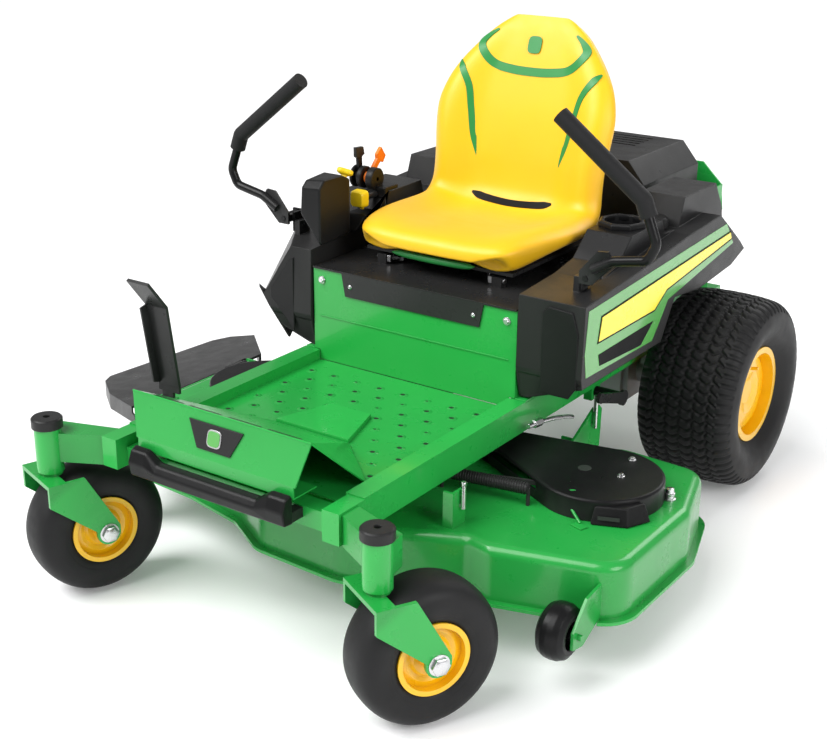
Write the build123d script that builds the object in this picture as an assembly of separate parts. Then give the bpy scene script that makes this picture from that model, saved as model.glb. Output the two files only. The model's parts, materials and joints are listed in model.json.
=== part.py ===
from build123d import *
import os

# Zero-turn riding lawn mower, in millimetres.
# Design frame: +X is the machine's left, +Y points to its rear, +Z is up, and the origin is on the
# ground under the middle of the rear axle. The files are written in the row frame, whose origin is
# the bottom centre of the whole machine's box.

# ---- driving dimensions ----
REAR_TYRE_R = 228.6        # 18 x 9.5-8 turf tyre
REAR_TYRE_W = 240.0
REAR_TRACK = 882.0
FRONT_TYRE_R = 139.7       # 11 x 4-5 caster tyre
FRONT_TYRE_W = 109.0
PIVOT_X = 402.0            # caster pivots, each side of the middle
PIVOT_Y = -1328.0
CASTER_TRAIL = 84.0
CASTER_TURN = {"left": -28.2, "right": -18.7}   # swivel of each caster at rest, degrees
RAIL_IN = 253.0            # frame rails, from the middle to each side
RAIL_OUT = 291.0
RAIL_BOTTOM = 303.0
RAIL_TOP = 365.0
RAIL_FRONT = -1290.0
RAIL_REAR = 318.0
FLOOR_Z = 342.0            # underside of the foot platform
SHEET = 3.0                # sheet metal thickness
FIT = 0.05                 # radial clearance of a running fit
GAP = 0.4                  # space between neighbouring parts
HOUSING_BOTTOM = 278.0     # caster bearing housings
HOUSING_TOP = 385.0
SHAFT_R = 12.5             # caster spindles and drive axles
BOLT_R = 9.5
PIN_R = 6.0                # small pivot pins
TOWER_FRONT = -660.5       # front face of the seat tower
TOWER_TOP = 559.0
FENDER_IN = 268.0
FENDER_OUT = 420.0
FENDER_STEP = 374.0        # where the raised inner part of a fender meets its lower side belt
FENDER_WALL = 4.0
SEAT_DECK_Z = TOWER_TOP
LEVER_PIVOT = (361.0, -579.0, 622.0)   # fore-and-aft pivot of the left lever
LEVER_PIN = (388.0, 640.0)             # x and z of the left lever's swing-out pin
DECK_BOTTOM = 108.0
DECK_TOP = 226.0
DECK_WALL = 3.5
SPINDLES = {"left": (450.0, -690.0), "centre": (48.0, -820.0), "right": (-354.0, -690.0)}
BLADE_R = 209.0
SCALP_R = 55.0
SCALP_W = 58.0
SCALP_Z = 118.0
SCALP_PLACES = {"left": (595.0, -1036.0), "right": (-540.0, -1022.0)}
IDLER_PLACE = (218.0, -661.0)
CHUTE_HINGE_X = -612.0
CHUTE_HINGE_Z = 206.0
LIFT_SHAFT_Z = 284.0
LIFT_SHAFT_R = 12.0
LIFT_SHAFT_Y = -330.0
PEDAL_PIVOT = (-1128.0, 388.0)     # y and z
ENGINE_X = 0.0
ENGINE_Y = 90.0
HITCH_HOLE_R = 8.0
SIDES = {"left": 1, "right": -1}

parts = {}


# ---- shape helpers ----
def block(x0, x1, y0, y1, z0, z1):
    """Box given by its limits."""
    middle = Pos((x0 + x1) / 2, (y0 + y1) / 2, (z0 + z1) / 2)
    return middle * Box(abs(x1 - x0), abs(y1 - y0), abs(z1 - z0))


def prism(points, direction, length):
    """Straight solid on a closed flat outline."""
    return extrude(make_face(Polyline(*points, close=True)), amount=length, dir=direction)


def prism_x(outline, x0, x1):
    """Solid between two x values, on an outline of (y, z) points."""
    return prism([(x0, y, z) for y, z in outline], (1, 0, 0), x1 - x0)


def prism_y(outline, y0, y1):
    """Solid between two y values, on an outline of (x, z) points."""
    return prism([(x, y0, z) for x, z in outline], (0, 1, 0), y1 - y0)


def prism_z(outline, z0, z1):
    """Solid between two heights, on an outline of (x, y) points."""
    return prism([(x, y, z0) for x, y in outline], (0, 0, 1), z1 - z0)


def rod(start, end, radius):
    """Round bar between two points."""
    axis = Vector(*end) - Vector(*start)
    return extrude(Plane(origin=start, z_dir=axis) * Circle(radius), amount=axis.length)


def pipe(start, end, outer, inner):
    """Round tube between two points."""
    return rod(start, end, outer) - rod(start, end, inner)


def ring_x(profile):
    """Body of revolution about X, on a closed outline of (x, radius) points."""
    return revolve(make_face(Polyline(*[(x, 0, r) for x, r in profile], close=True)), Axis.X)


def ring_z(profile):
    """Body of revolution about Z, on a closed outline of (radius, z) points."""
    return revolve(make_face(Polyline(*[(r, 0, z) for r, z in profile], close=True)), Axis.Z)


def bent_bar(points, radii, radius):
    """Round bar along straight runs joined by arcs."""
    path = FilletPolyline(*points, radius=radii)
    return sweep(Plane(origin=path @ 0, z_dir=path % 0) * Circle(radius), path=path)


def sheet_panel(corners, inside, thickness):
    """Flat panel with its outer face on the corners, thickened towards a point inside."""
    face = make_face(Polyline(*corners, close=True)).face()
    towards = Vector(*inside) - face.center()
    normal = face.normal_at()
    if normal.dot(towards) < 0:
        normal = -normal
    return extrude(face, amount=thickness, dir=normal)


def hexagon(place, across_r, length):
    """Bolt head or nut: a hexagonal bar standing on a plane."""
    return extrude(place * RegularPolygon(across_r, 6), amount=length)


def rounded_prism(outline, radii, z0, z1):
    """Upright solid whose outline's corners are rounded, each by its own radius."""
    face = make_face(Polyline(*[(x, y, z0) for x, y in outline], close=True))
    for (x, y), radius in zip(outline, radii):
        corner = face.vertices().sort_by_distance((x, y, z0))[0]
        face = fillet(corner, radius)
    return extrude(face, amount=z1 - z0, dir=(0, 0, 1))


def group(*shapes):
    """Several separate solids as one part."""
    return Compound([solid for shape in shapes for solid in shape.solids()])


def mirrored(shape):
    """The same part on the machine's right side."""
    return mirror(shape, about=Plane.YZ)


def both_sides(name, shape):
    """Add a left part and its mirror image."""
    parts[name + "_left"] = shape
    parts[name + "_right"] = mirrored(shape)


# ---- wheels ----
def tyre(outer_r, half_width, bead_r, bead_half, wall):
    """Hollow tyre about X, open between its beads."""
    height = outer_r - bead_r

    def skin(width, crown):
        rise = crown - bead_r
        bead = bead_half * width / half_width
        right = [
            (bead, bead_r), (bead * 1.005, bead_r + 0.14 * rise), (width, bead_r + 0.5 * rise),
            (width * 0.93, bead_r + 0.82 * rise), (width * 0.72, bead_r + 0.955 * rise),
            (width * 0.36, bead_r + 0.993 * rise),
        ]
        left = [(-x, r) for x, r in reversed(right)]
        return Spline(*[(x, 0, r) for x, r in right + [(0, crown)] + left])

    outer = skin(half_width, outer_r)
    inner = skin(half_width - wall, outer_r - wall * height / half_width)
    joins = [Line(outer @ 0, inner @ 0), Line(outer @ 1, inner @ 1)]
    return revolve(make_face([outer, inner] + joins), Axis.X)


def rim_barrel(bead_r, half_width, flange_r, well):
    """Rolled steel rim about X with a drop centre."""
    outer = [
        (-half_width, flange_r), (-half_width + 4, flange_r), (-half_width + 6, bead_r),
        (-0.6 * half_width, bead_r), (-0.35 * half_width, bead_r - well),
        (0.35 * half_width, bead_r - well), (0.6 * half_width, bead_r),
        (half_width - 6, bead_r), (half_width - 4, flange_r), (half_width, flange_r),
    ]
    inner = [
        (half_width, bead_r - 3), (0.6 * half_width + 2, bead_r - 3),
        (0.35 * half_width + 2, bead_r - well - 3), (-0.35 * half_width - 2, bead_r - well - 3),
        (-0.6 * half_width - 2, bead_r - 3), (-half_width, bead_r - 3),
    ]
    return ring_x(outer + inner)


def rear_wheels():
    """Drive wheels: turf tyre, and rim with its dished disc, hub and axle shaft."""
    bead_r = 102.0
    rim_half = 95.0
    place = Pos(REAR_TRACK / 2, 0, REAR_TYRE_R)
    casing = tyre(REAR_TYRE_R, REAR_TYRE_W / 2, bead_r + 0.2, rim_half - 7, 11)
    disc = ring_x([
        (58, bead_r - 2), (64, bead_r - 2), (74, 84), (77, 50), (70, 28), (70, 0),
        (64, 0), (64, 28), (71, 50), (68, 82),
    ])
    shaft = rod((-195, 0, 0), (66, 0, 0), SHAFT_R)
    hub = pipe((20, 0, 0), (66, 0, 0), 32, SHAFT_R)
    stem = rod((72, 0, 60), (93, 0, 64), 4)
    rim = rim_barrel(bead_r, rim_half, 114, 12) + disc + shaft + hub + stem
    both_sides("rear_tyre", place * casing)
    both_sides("rear_rim", place * rim)


def caster_place(side):
    """A caster's own frame: its pivot axis, turned by its swivel at rest."""
    return Pos(SIDES[side] * PIVOT_X, PIVOT_Y, 0) * Rot(0, 0, CASTER_TURN[side])


def caster_fork():
    """Fork with its upright spindle, about the pivot axis, trailing along +Y."""
    arm = 8.0
    inner = 59.0
    top_z = 272.0
    eye_r = 25.0
    axle = (CASTER_TRAIL, FRONT_TYRE_R)
    flank_outline = [
        (-34, top_z), (42, top_z), (axle[0] + eye_r, axle[1] + 12), (axle[0] + eye_r, axle[1]),
        (axle[0] - eye_r, axle[1]), (axle[0] - eye_r, axle[1] + 8), (-34, top_z - 46),
    ]
    fork = block(-inner - arm, inner + arm, -34, 4, top_z - 9, top_z)
    fork += rod((0, 0, top_z - 4), (0, 0, HOUSING_TOP - 6), SHAFT_R)
    fork += rod((0, 0, top_z - 1), (0, 0, HOUSING_BOTTOM - GAP), 23)
    for x0 in (-inner - arm, inner):
        flank = prism_x(flank_outline, x0, x0 + arm) + rod((x0, *axle), (x0 + arm, *axle), eye_r)
        fork += flank - rod((x0 - 1, *axle), (x0 + arm + 1, *axle), BOLT_R + FIT)
    return fork


def axle_bolt():
    """Hexagon bolt and nut through a caster fork, along X."""
    reach = 67.2
    axle = (CASTER_TRAIL, FRONT_TYRE_R)
    bolt = rod((-reach, *axle), (reach + 12, *axle), BOLT_R)
    bolt += hexagon(Plane(origin=(-reach - 9, *axle), z_dir=(1, 0, 0)), 15, 9)
    bolt += hexagon(Plane(origin=(reach, *axle), z_dir=(1, 0, 0)), 15, 9)
    return bolt


def front_wheels():
    """Caster forks, their axle bolts, and the front tyres and rims."""
    bead_r = 63.5
    rim_half = 50.0
    casing = tyre(FRONT_TYRE_R, FRONT_TYRE_W / 2, bead_r + 0.2, rim_half - 7, 9)
    disc = ring_x([
        (28, bead_r - 2), (33, bead_r - 2), (37, 48), (33, 40), (38, 34), (34, 18), (29, 18),
        (32, 32), (28, 41), (31, 47),
    ])
    hub = rod((-57, 0, 0), (57, 0, 0), 21)
    bore = rod((-60, 0, 0), (60, 0, 0), BOLT_R + FIT)
    rim = rim_barrel(bead_r, rim_half, 70, 6) + disc + mirrored(disc) + hub - bore
    for side in SIDES:
        place = caster_place(side)
        wheel_place = place * Pos(0, CASTER_TRAIL, FRONT_TYRE_R)
        parts["caster_fork_" + side] = group(place * caster_fork(), place * axle_bolt())
        parts["front_tyre_" + side] = wheel_place * casing
        parts["front_rim_" + side] = wheel_place * rim


# ---- frame ----
def frame_rails():
    """Rectangular tube rails with a closed front end."""
    outer = block(RAIL_IN, RAIL_OUT, RAIL_FRONT, RAIL_REAR, RAIL_BOTTOM, RAIL_TOP)
    inner = block(RAIL_IN + SHEET, RAIL_OUT - SHEET, RAIL_FRONT + SHEET, RAIL_REAR + 1,
                  RAIL_BOTTOM + SHEET, RAIL_TOP - SHEET)
    rail = outer - inner
    y = LIFT_SHAFT_Y
    rail += block(262, 282, y - 20, y + 20, LIFT_SHAFT_Z - 18, RAIL_BOTTOM)
    rail -= rod((250, y, LIFT_SHAFT_Z), (300, y, LIFT_SHAFT_Z), LIFT_SHAFT_R + FIT)
    both_sides("frame_rail", rail)


def front_beam():
    """Rectangular tube between the rails, behind the step."""
    outer = block(-RAIL_IN, RAIL_IN, -1262, -1222, RAIL_BOTTOM, FLOOR_Z)
    inner = block(-RAIL_IN - 1, RAIL_IN + 1, -1259, -1225, RAIL_BOTTOM + 3, FLOOR_Z - 3)
    return outer - inner


def caster_arms():
    """Swept arm from each rail to its caster bearing housing."""
    outline = [(424, -1322), (416, -1276), (RAIL_OUT, -1235), (RAIL_OUT, -1281), (384, -1330)]
    arm = prism_z(outline, 300, 361)
    housing = rod((PIVOT_X, PIVOT_Y, HOUSING_BOTTOM), (PIVOT_X, PIVOT_Y, HOUSING_TOP), 27)
    bore = rod((PIVOT_X, PIVOT_Y, HOUSING_BOTTOM - 1), (PIVOT_X, PIVOT_Y, HOUSING_TOP + 1),
               SHAFT_R + FIT)
    both_sides("caster_arm", arm + housing - bore)


def trim_caps():
    """Dust caps on the caster housings, and the plain badge plate on the nose."""
    top = HOUSING_TOP + 7
    skirt = HOUSING_TOP - 14
    profile = [(7, HOUSING_TOP), (27.1, HOUSING_TOP), (27.1, skirt), (31, skirt), (31, top - 3),
               (28, top), (7, top)]
    cap = Pos(PIVOT_X, PIVOT_Y, 0) * ring_z(profile)
    parts["trim_caps"] = group(cap, mirrored(cap), nose_badge())


def cross_members():
    """Front beam, and the plate that carries the engine with its rear wall and hitch tongue."""
    plate = block(-RAIL_OUT, RAIL_OUT, -150, RAIL_REAR + 5, RAIL_TOP, RAIL_TOP + 5)
    plate -= rod((ENGINE_X, ENGINE_Y, RAIL_TOP - 1), (ENGINE_X, ENGINE_Y, RAIL_TOP + 6), 45)
    wall = block(-RAIL_OUT, RAIL_OUT, RAIL_REAR, RAIL_REAR + 5, 262, RAIL_TOP + 1)
    tongue = block(-38, 38, RAIL_REAR + 5, RAIL_REAR + 56, 262, 268)
    hole = rod((0, RAIL_REAR + 34, 255), (0, RAIL_REAR + 34, 275), HITCH_HOLE_R)
    parts["cross_members"] = group(front_beam(), plate + wall + tongue - hole)


def rear_guard():
    """Sheet guard round the back of the engine, on two legs."""
    back_y = 300.0
    outline = [(-226, 690), (226, 690), (278, 640), (286, 575), (262, 552), (-262, 552), (-286, 575),
               (-278, 640)]
    guard = prism_y(outline, back_y, back_y + 5)
    guard -= prism_y([(-150, 660), (150, 660), (170, 600), (-170, 600)], back_y - 1, back_y + 6)
    for side in SIDES.values():
        guard += block(side * 282, side * 278, back_y - 90, back_y + 2, 568, 640)
        guard += block(side * 262, side * 226, back_y, back_y + 5, RAIL_TOP + 5, 560)
        guard += block(side * 262, side * 226, back_y - 40, back_y + 2, RAIL_TOP + 5, RAIL_TOP + 10)
    parts["rear_guard"] = guard


# ---- foot platform and front ----
def floor_pan():
    """Foot platform: a floor with upright sides and flanges on the rails, and a raised middle."""
    front = -1215.0
    rear = TOWER_FRONT - 1.0
    half = RAIL_IN - 1.0
    section = [
        (-RAIL_OUT, RAIL_TOP + SHEET), (-half + SHEET, RAIL_TOP + SHEET), (-half + SHEET, FLOOR_Z + SHEET),
        (half - SHEET, FLOOR_Z + SHEET), (half - SHEET, RAIL_TOP + SHEET),
        (RAIL_OUT, RAIL_TOP + SHEET), (RAIL_OUT, RAIL_TOP), (half, RAIL_TOP), (half, FLOOR_Z),
        (-half, FLOOR_Z), (-half, RAIL_TOP), (-RAIL_OUT, RAIL_TOP),
    ]
    pan = prism_y(section, front, rear)
    ridge_top = FLOOR_Z + SHEET + 9
    pan += prism_z([(-92, -1003), (92, -1003), (50, -872), (-50, -872)], FLOOR_Z + SHEET, ridge_top)
    y, z = PEDAL_PIVOT
    for x0, x1 in ((-RAIL_OUT, -286), (-256, -251)):
        pan += block(x0, x1, y - 14, y + 14, RAIL_TOP + SHEET - 1, z + 10)
    pan += rod((-RAIL_OUT, y, z), (-251, y, z), PIN_R)
    parts["floor_pan"] = pan


NOSE_TOP = (217.0, -1270.0, 474.0)
NOSE_FOOT = (194.0, -1290.0, 388.0)
NOSE_RAMP = (95.0, -1006.0, 349.0)
NOSE_SIDE = (236.0, -1132.0, 349.0)


def nose_cover():
    """Front cowl: a leaning front panel, a ramp down to the floor and two side slopes."""
    inside = (0, -1180, 380)
    flip = (-1, 1, 1)

    def other(point):
        return tuple(a * b for a, b in zip(flip, point))

    front = [NOSE_TOP, NOSE_FOOT, other(NOSE_FOOT), other(NOSE_TOP)]
    ramp = [NOSE_TOP, NOSE_RAMP, other(NOSE_RAMP), other(NOSE_TOP)]
    nose = sheet_panel(front, inside, SHEET) + sheet_panel(ramp, inside, SHEET)
    slope = sheet_panel([NOSE_TOP, NOSE_RAMP, NOSE_SIDE], inside, SHEET)
    nose += slope + mirrored(slope)
    nose += block(-190, 190, -1290, -1224, 364, 367)
    nose += block(-190, 190, -1290, -1287, 364, 389)
    for side in SIDES.values():
        nose += block(side * 150, side * 146, -1262, -1226, FLOOR_Z, 366)
    parts["nose_cover"] = nose


def front_step():
    """Moulded step across the front, scooped in the middle, with a hand gap behind it."""
    end_outline = [(-1292, 318), (-1292, 362), (-1297, 378), (-1312, 372), (-1322, 348), (-1316, 320)]
    bar_outline = [(-1298, 318), (-1298, 340), (-1304, 349), (-1316, 347), (-1322, 338), (-1316, 320)]
    bar = prism_x(bar_outline, -140, 140)
    for side in SIDES.values():
        bar += prism_x(end_outline, side * 138, side * 190)
        bar += block(side * 188, side * 168, -1293, -1262, 320, 340)
    bar -= block(-160, 160, -1299, -1290, 300, 400)
    parts["front_step"] = bar


def nose_badge():
    """Plain trapezoid badge plate on the nose front."""
    lean = (NOSE_TOP[1] - NOSE_FOOT[1]) / (NOSE_TOP[2] - NOSE_FOOT[2])

    def on_nose(x, z, out):
        return (x, NOSE_FOOT[1] + lean * (z - NOSE_FOOT[2]) - out, z)

    corners = [on_nose(-66, 455, 3), on_nose(66, 455, 3), on_nose(40, 406, 3), on_nose(-40, 406, 3)]
    return sheet_panel(corners, (0, -1180, 430), 2.8)


# ---- seat tower ----
def seat_tower():
    """Folded sheet box under the seat: front panel and two sides."""
    outline = [(-249, 346), (249, 346), (249, RAIL_TOP + 4), (264, RAIL_TOP + 4), (264, TOWER_TOP),
               (-264, TOWER_TOP), (-264, RAIL_TOP + 4), (-249, RAIL_TOP + 4)]
    tower = prism_y(outline, TOWER_FRONT, TOWER_FRONT + SHEET)
    for side in SIDES.values():
        tower += block(side * 264, side * 261, TOWER_FRONT + 1, -165, RAIL_TOP + 4, TOWER_TOP)
        tower += block(side * 290, side * 255, TOWER_FRONT + 1, -165, RAIL_TOP, RAIL_TOP + 4.5)
    tower += block(-262, 262, -168, -165, RAIL_TOP + 6, TOWER_TOP)
    parts["seat_tower"] = tower


def seat_deck():
    """Black platform under the seat, with a lip folded down over the tower's front."""
    deck = block(-263, 263, TOWER_FRONT - 4, -165, SEAT_DECK_Z, SEAT_DECK_Z + 4)
    lip = prism_y([(-184, SEAT_DECK_Z + 1), (184, SEAT_DECK_Z + 1), (174, 508), (-174, 508)],
                  TOWER_FRONT - 4, TOWER_FRONT - 0.5)
    deck += lip
    for x in (-150, 150):
        deck += block(x - 12, x + 12, -560, -540, SEAT_DECK_Z + 4, SEAT_DECK_Z + 26)
    for x in (-150, 150):
        deck -= rod((x - 20, -550, 577), (x + 20, -550, 577), PIN_R + FIT)
    parts["seat_deck"] = deck


def seat():
    """Bucket seat: cushion and back in one padded piece."""
    outline = [
        (-592, 612), (-598, 640), (-570, 664), (-500, 668), (-330, 652), (-262, 662), (-236, 700),
        (-226, 780), (-196, 940), (-158, 1060), (-140, 1080), (-120, 1074), (-112, 1040),
        (-146, 900), (-168, 760), (-178, 660), (-192, 620), (-230, 600), (-560, 600),
    ]
    body = prism_x(outline, -236, 236)
    plan = [(-236, -610), (236, -610), (236, -80), (-236, -80)]
    body &= rounded_prism(plan, [70, 70, 40, 40], 590, 1090)
    face = [(-260, 590), (260, 590), (252, 700), (222, 720), (228, 880), (196, 960), (140, 1030),
            (92, 1082), (-92, 1082), (-140, 1030), (-196, 960), (-228, 880), (-222, 720), (-252, 700)]
    parts["seat"] = body & prism_y(face, -620, -70)


def seat_plate():
    """Seat pan: a plate on two slide channels, hinged at its front on the seat deck."""
    plate = block(-190, 190, -560, -200, 592, 599.5)
    for x in (-125, 125):
        plate += block(x - 10, x + 10, -540, -210, 585, 593)
    parts["seat_plate"] = plate


def seat_hinge():
    """Hinge frame under the seat plate: two rails and the front pins."""
    frame = block(-130, 130, -300, -280, 568, 574)
    for x in (-125, 125):
        frame += block(x - 12, x + 12, -530, -220, 568, 575)
        frame += block(x - 12, x - 10.4, -530, -220, 574, 591)
        frame += block(x + 10.4, x + 12, -530, -220, 574, 591)
    for x in (-150, 150):
        sign = 1 if x > 0 else -1
        frame += rod((sign * 128, -550, 577), (sign * 166, -550, 577), PIN_R)
        frame += block(sign * 137, sign * 128, -558, -520, 570, 584)
    parts["seat_hinge_frame"] = frame


# ---- fenders, console and covers ----
def inset_prism(outline, depth, x0, x1):
    """Solid between two x values on an outline of (y, z) points moved inwards."""
    face = make_face(Polyline(*[(0, y, z) for y, z in outline], close=True))
    smaller = offset(face, amount=-depth)
    return Pos(x0, 0, 0) * extrude(smaller, amount=x1 - x0, dir=(1, 0, 0))


FENDER_TOP = [
    (-664, 598), (-520, 608), (-444, 622), (-385, 672), (-238, 676), (-226, 644), (-152, 640),
    (-128, 706), (40, 706), (86, 640), (104, 560),
]
FENDER_BOTTOM = [(133, 536), (60, 512), (-120, 498), (-248, 512), (-338, 374), (-650, 374), (-668, 446)]
BELT_TOP = [(-664, 598), (-380, 620), (-190, 640), (-26, 650), (30, 612)]
CUP_PLACE = (314.0, -312.0)
CAP_PLACE = (330.0, -189.0)


def fender_shell():
    """Left rear fender: a hollow moulded cover over the wheel, open below."""
    inner_outline = FENDER_TOP + FENDER_BOTTOM
    belt_outline = BELT_TOP + [(104, 560)] + FENDER_BOTTOM
    outer = prism_x(inner_outline, FENDER_IN, FENDER_STEP)
    outer += prism_x(belt_outline, FENDER_STEP, FENDER_OUT)
    hollow = inset_prism(inner_outline, FENDER_WALL, FENDER_IN + FENDER_WALL, FENDER_STEP - FENDER_WALL)
    belt = inset_prism(belt_outline, FENDER_WALL, FENDER_IN + FENDER_WALL, FENDER_OUT - FENDER_WALL)
    hollow += belt
    shell = outer - hollow - Pos(0, 0, -14) * hollow
    shell = cut_corner(shell, outer, [(307, -666, 381), (420, -666, 424), (420, -340, 424)], (0, 0, -1))
    return shell, outer


def cut_corner(shell, outer, points, outward):
    """Cut a corner off a hollow shell along the plane through three points, and wall the cut."""
    a, b, c = (Vector(*point) for point in points)
    normal = (b - a).cross(c - a).normalized()
    if normal.dot(Vector(*outward)) < 0:
        normal = normal * -1
    plane = Plane(origin=a, x_dir=b - a, z_dir=normal)
    beyond = plane * Box(1500, 1500, 300, align=(Align.CENTER, Align.CENTER, Align.MIN))
    wall = plane * Box(1500, 1500, FENDER_WALL, align=(Align.CENTER, Align.CENTER, Align.MAX))
    return shell - beyond + (outer & wall)


def lever_boss(shell):
    """Adds the block in which the steering lever's base pin turns."""
    x, y, z = LEVER_PIVOT
    shell += block(x - 7, x + 7, y - 18, y + 18, z - 22, z + 14)
    return shell - rod((x - 8, y, z), (x + 8, y, z), PIN_R + FIT)


def fender_left():
    """Left fender with the cup holder and the hole for the fuel filler."""
    shell = lever_boss(fender_shell()[0])
    cup = rod((*CUP_PLACE, 590), (*CUP_PLACE, 684), 45)
    cup -= rod((*CUP_PLACE, 594), (*CUP_PLACE, 690), 40)
    shell -= rod((*CUP_PLACE, 580), (*CUP_PLACE, 700), 44)
    shell -= rod((*CAP_PLACE, 600), (*CAP_PLACE, 660), 26)
    parts["fender_left"] = shell + cup


def fender_right():
    """Right fender, which carries the control console and has cut front corners."""
    shell, outer = fender_shell()
    shell = cut_corner(shell, outer, [(320, -666, 605), (398, -666, 487), (424, -560, 560)], (1, 0, 1))
    shell = cut_corner(shell, outer, [(395, -666, 450), (336, -666, 366), (424, -560, 400)], (1, 0, -1))
    parts["fender_right"] = mirrored(lever_boss(shell))


DRUM_PLACE = (-398.0, 706.0)
DRUM_LEVER_X = {"throttle_lever": -306.0, "choke_lever": -332.0}
DIAL_PLACE = (-284.0, -446.0, 672.0)


def control_console():
    """Faceted control tower on the right fender, with a slotted drum for the throttle levers."""
    outline = [(-648, 604), (-648, 738), (-632, 750), (-556, 750), (-478, 706), (-452, 702),
               (-446, 690), (-352, 690), (-352, 679.4), (-388, 679.4), (-446, 626), (-520, 610)]
    console = prism_x(outline, -310, -254)
    console -= prism_y([(-330, 690), (-330, 590), (-268, 590), (-268, 620)], -660, -540)
    console -= block(-330, -250, -480, -404, 640, 712)
    console -= rod((DIAL_PLACE[0], -410, DIAL_PLACE[2]), (DIAL_PLACE[0], -380, DIAL_PLACE[2]), 8 + FIT)
    y, z = DRUM_PLACE
    drum = rod((-345, y, z), (-280, y, z), 26)
    for x in DRUM_LEVER_X.values():
        drum -= block(x - 6, x + 6, y - 34, y + 34, 690.1, 740)
    console += drum + rod((-345, y, z), (-280, y, z), PIN_R)
    parts["control_console"] = console


def panel_lever(name, lean, reach):
    """Flat lever turning on the console's drum axle."""
    x = DRUM_LEVER_X[name]
    y, z = DRUM_PLACE
    outline = [(-6, 8), (6, 8), (7, reach - 22), (17, reach - 18), (14, reach), (-14, reach + 4),
               (-15, reach - 18), (-7, reach - 24)]
    lever = Pos(x, y, z) * Rot(lean, 0, 0) * prism_x(outline, -4, 4)
    lever += rod((x - 5, y, z), (x + 5, y, z), 14)
    parts[name] = lever - rod((x - 6, y, z), (x + 6, y, z), PIN_R + FIT)


def console_controls():
    """Throttle and choke levers, blade clutch knob and cutting-height dial."""
    panel_lever("throttle_lever", -45, 74)
    panel_lever("choke_lever", 4, 68)
    knob = ring_z([(0, 0.5), (8, 0.5), (8, 6), (17, 8), (18, 16), (14, 20), (0, 20)])
    parts["blade_clutch_knob"] = Pos(-290, -517, 728.4) * Rot(-29, 0, 0) * knob
    x, y, z = DIAL_PLACE
    dial = hexagon(Plane(origin=(x, y - 12, z), z_dir=(0, 1, 0)), 26, 24)
    dial += rod((x, y + 10, z), (x, -397, z), 8)
    parts["height_dial"] = dial


def engine_cover():
    """Hood over the engine behind the seat, open below."""
    outline = [(-240, 590), (-240, 700), (-196, 752), (196, 752), (240, 700), (240, 590)]
    inner = [(-236, 580), (-236, 698), (-194, 748), (194, 748), (236, 698), (236, 580)]
    cover = prism_y(outline, -62, 236)
    cover -= prism_y(inner, -58, 232)
    for y in range(100, 220, 24):
        cover -= block(-130, 130, y, y + 10, 740, 760)
    parts["engine_cover"] = cover


# ---- engine and drive ----
def engine():
    """Upright-shaft engine: crankcase with its finned cylinder, fan housing and silencer."""
    case = rod((ENGINE_X, ENGINE_Y, RAIL_TOP + 5), (ENGINE_X, ENGINE_Y, 500), 118)
    case += block(-70, 70, 170, 236, 400, 500)
    for z in range(404, 500, 12):
        case += block(-84, 84, 150, 250, z, z + 5)
    case -= rod((ENGINE_X, ENGINE_Y, RAIL_TOP), (ENGINE_X, ENGINE_Y, 450), SHAFT_R + FIT)
    fan = ring_z([(0, 500), (132, 500), (138, 560), (112, 636), (0, 660)])
    parts["engine"] = group(case, Pos(ENGINE_X, ENGINE_Y, 0) * fan, muffler())


def muffler():
    """Silencer beside the crankcase with its outlet pipe."""
    can = rod((-196, 20, 425), (-196, 200, 425), 46)
    tail = rod((-196, 195, 425), (-196, 262, 425), 13)
    strap = block(-242, -150, 96, 116, RAIL_TOP + 5, 384)
    return can + tail + strap


def crank_pulley():
    """Crankshaft with the drive pulley and the blade clutch pulley below the plate."""
    shaft = rod((0, 0, 262), (0, 0, 440), SHAFT_R)
    upper = ring_z([(0, 330), (52, 330), (46, 338), (52, 346), (0, 346)])
    lower = ring_z([(0, 272), (62, 272), (62, 284), (50, 292), (62, 300), (62, 312), (0, 312)])
    parts["crank_pulley"] = Pos(ENGINE_X, ENGINE_Y, 0) * (shaft + upper + lower)


INPUT_PULLEY = (178.0, -20.0)


def transaxles():
    """Hydrostatic transaxle each side, with the axle horn that carries the wheel shaft."""
    box = block(120, 238, -78, 78, 168, 292)
    box += block(132, 226, -92, 92, 190, 270)
    box += rod((230, 0, REAR_TYRE_R), (316, 0, REAR_TYRE_R), 34)
    box += block(246, 288, -30, 30, 250, RAIL_BOTTOM)
    box += rod((178, -20, 290), (178, -20, 300), 26)
    bore = rod((240, 0, REAR_TYRE_R), (320, 0, REAR_TYRE_R), SHAFT_R + FIT)
    parts["transaxles"] = group(box - bore, mirrored(box - bore))


def belt_loop(pulleys, z0, z1, thickness):
    """Belt round pulleys given as (x, y, radius)."""
    def hull(extra):
        rings = [Pos(x, y, z0) * Edge.make_circle(r + extra) for x, y, r in pulleys]
        return extrude(make_hull(rings), amount=z1 - z0, dir=(0, 0, 1))

    return hull(1 + thickness) - hull(1)


def drive_belt():
    """V-belt from the crank pulley to the transaxle input pulleys, with those pulleys."""
    pulleys = [(ENGINE_X, ENGINE_Y, 52), (INPUT_PULLEY[0], INPUT_PULLEY[1], 40),
               (-INPUT_PULLEY[0], INPUT_PULLEY[1], 40)]
    pulley = ring_z([(0, 300.5), (9, 300.5), (9, 331), (40, 331), (34, 338), (40, 345), (0, 345)])
    pulley = Pos(*INPUT_PULLEY, 0) * pulley
    belt = belt_loop(pulleys, 334, 342, 8)
    parts["drive_belt"] = group(belt, pulley, mirrored(pulley))


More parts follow.
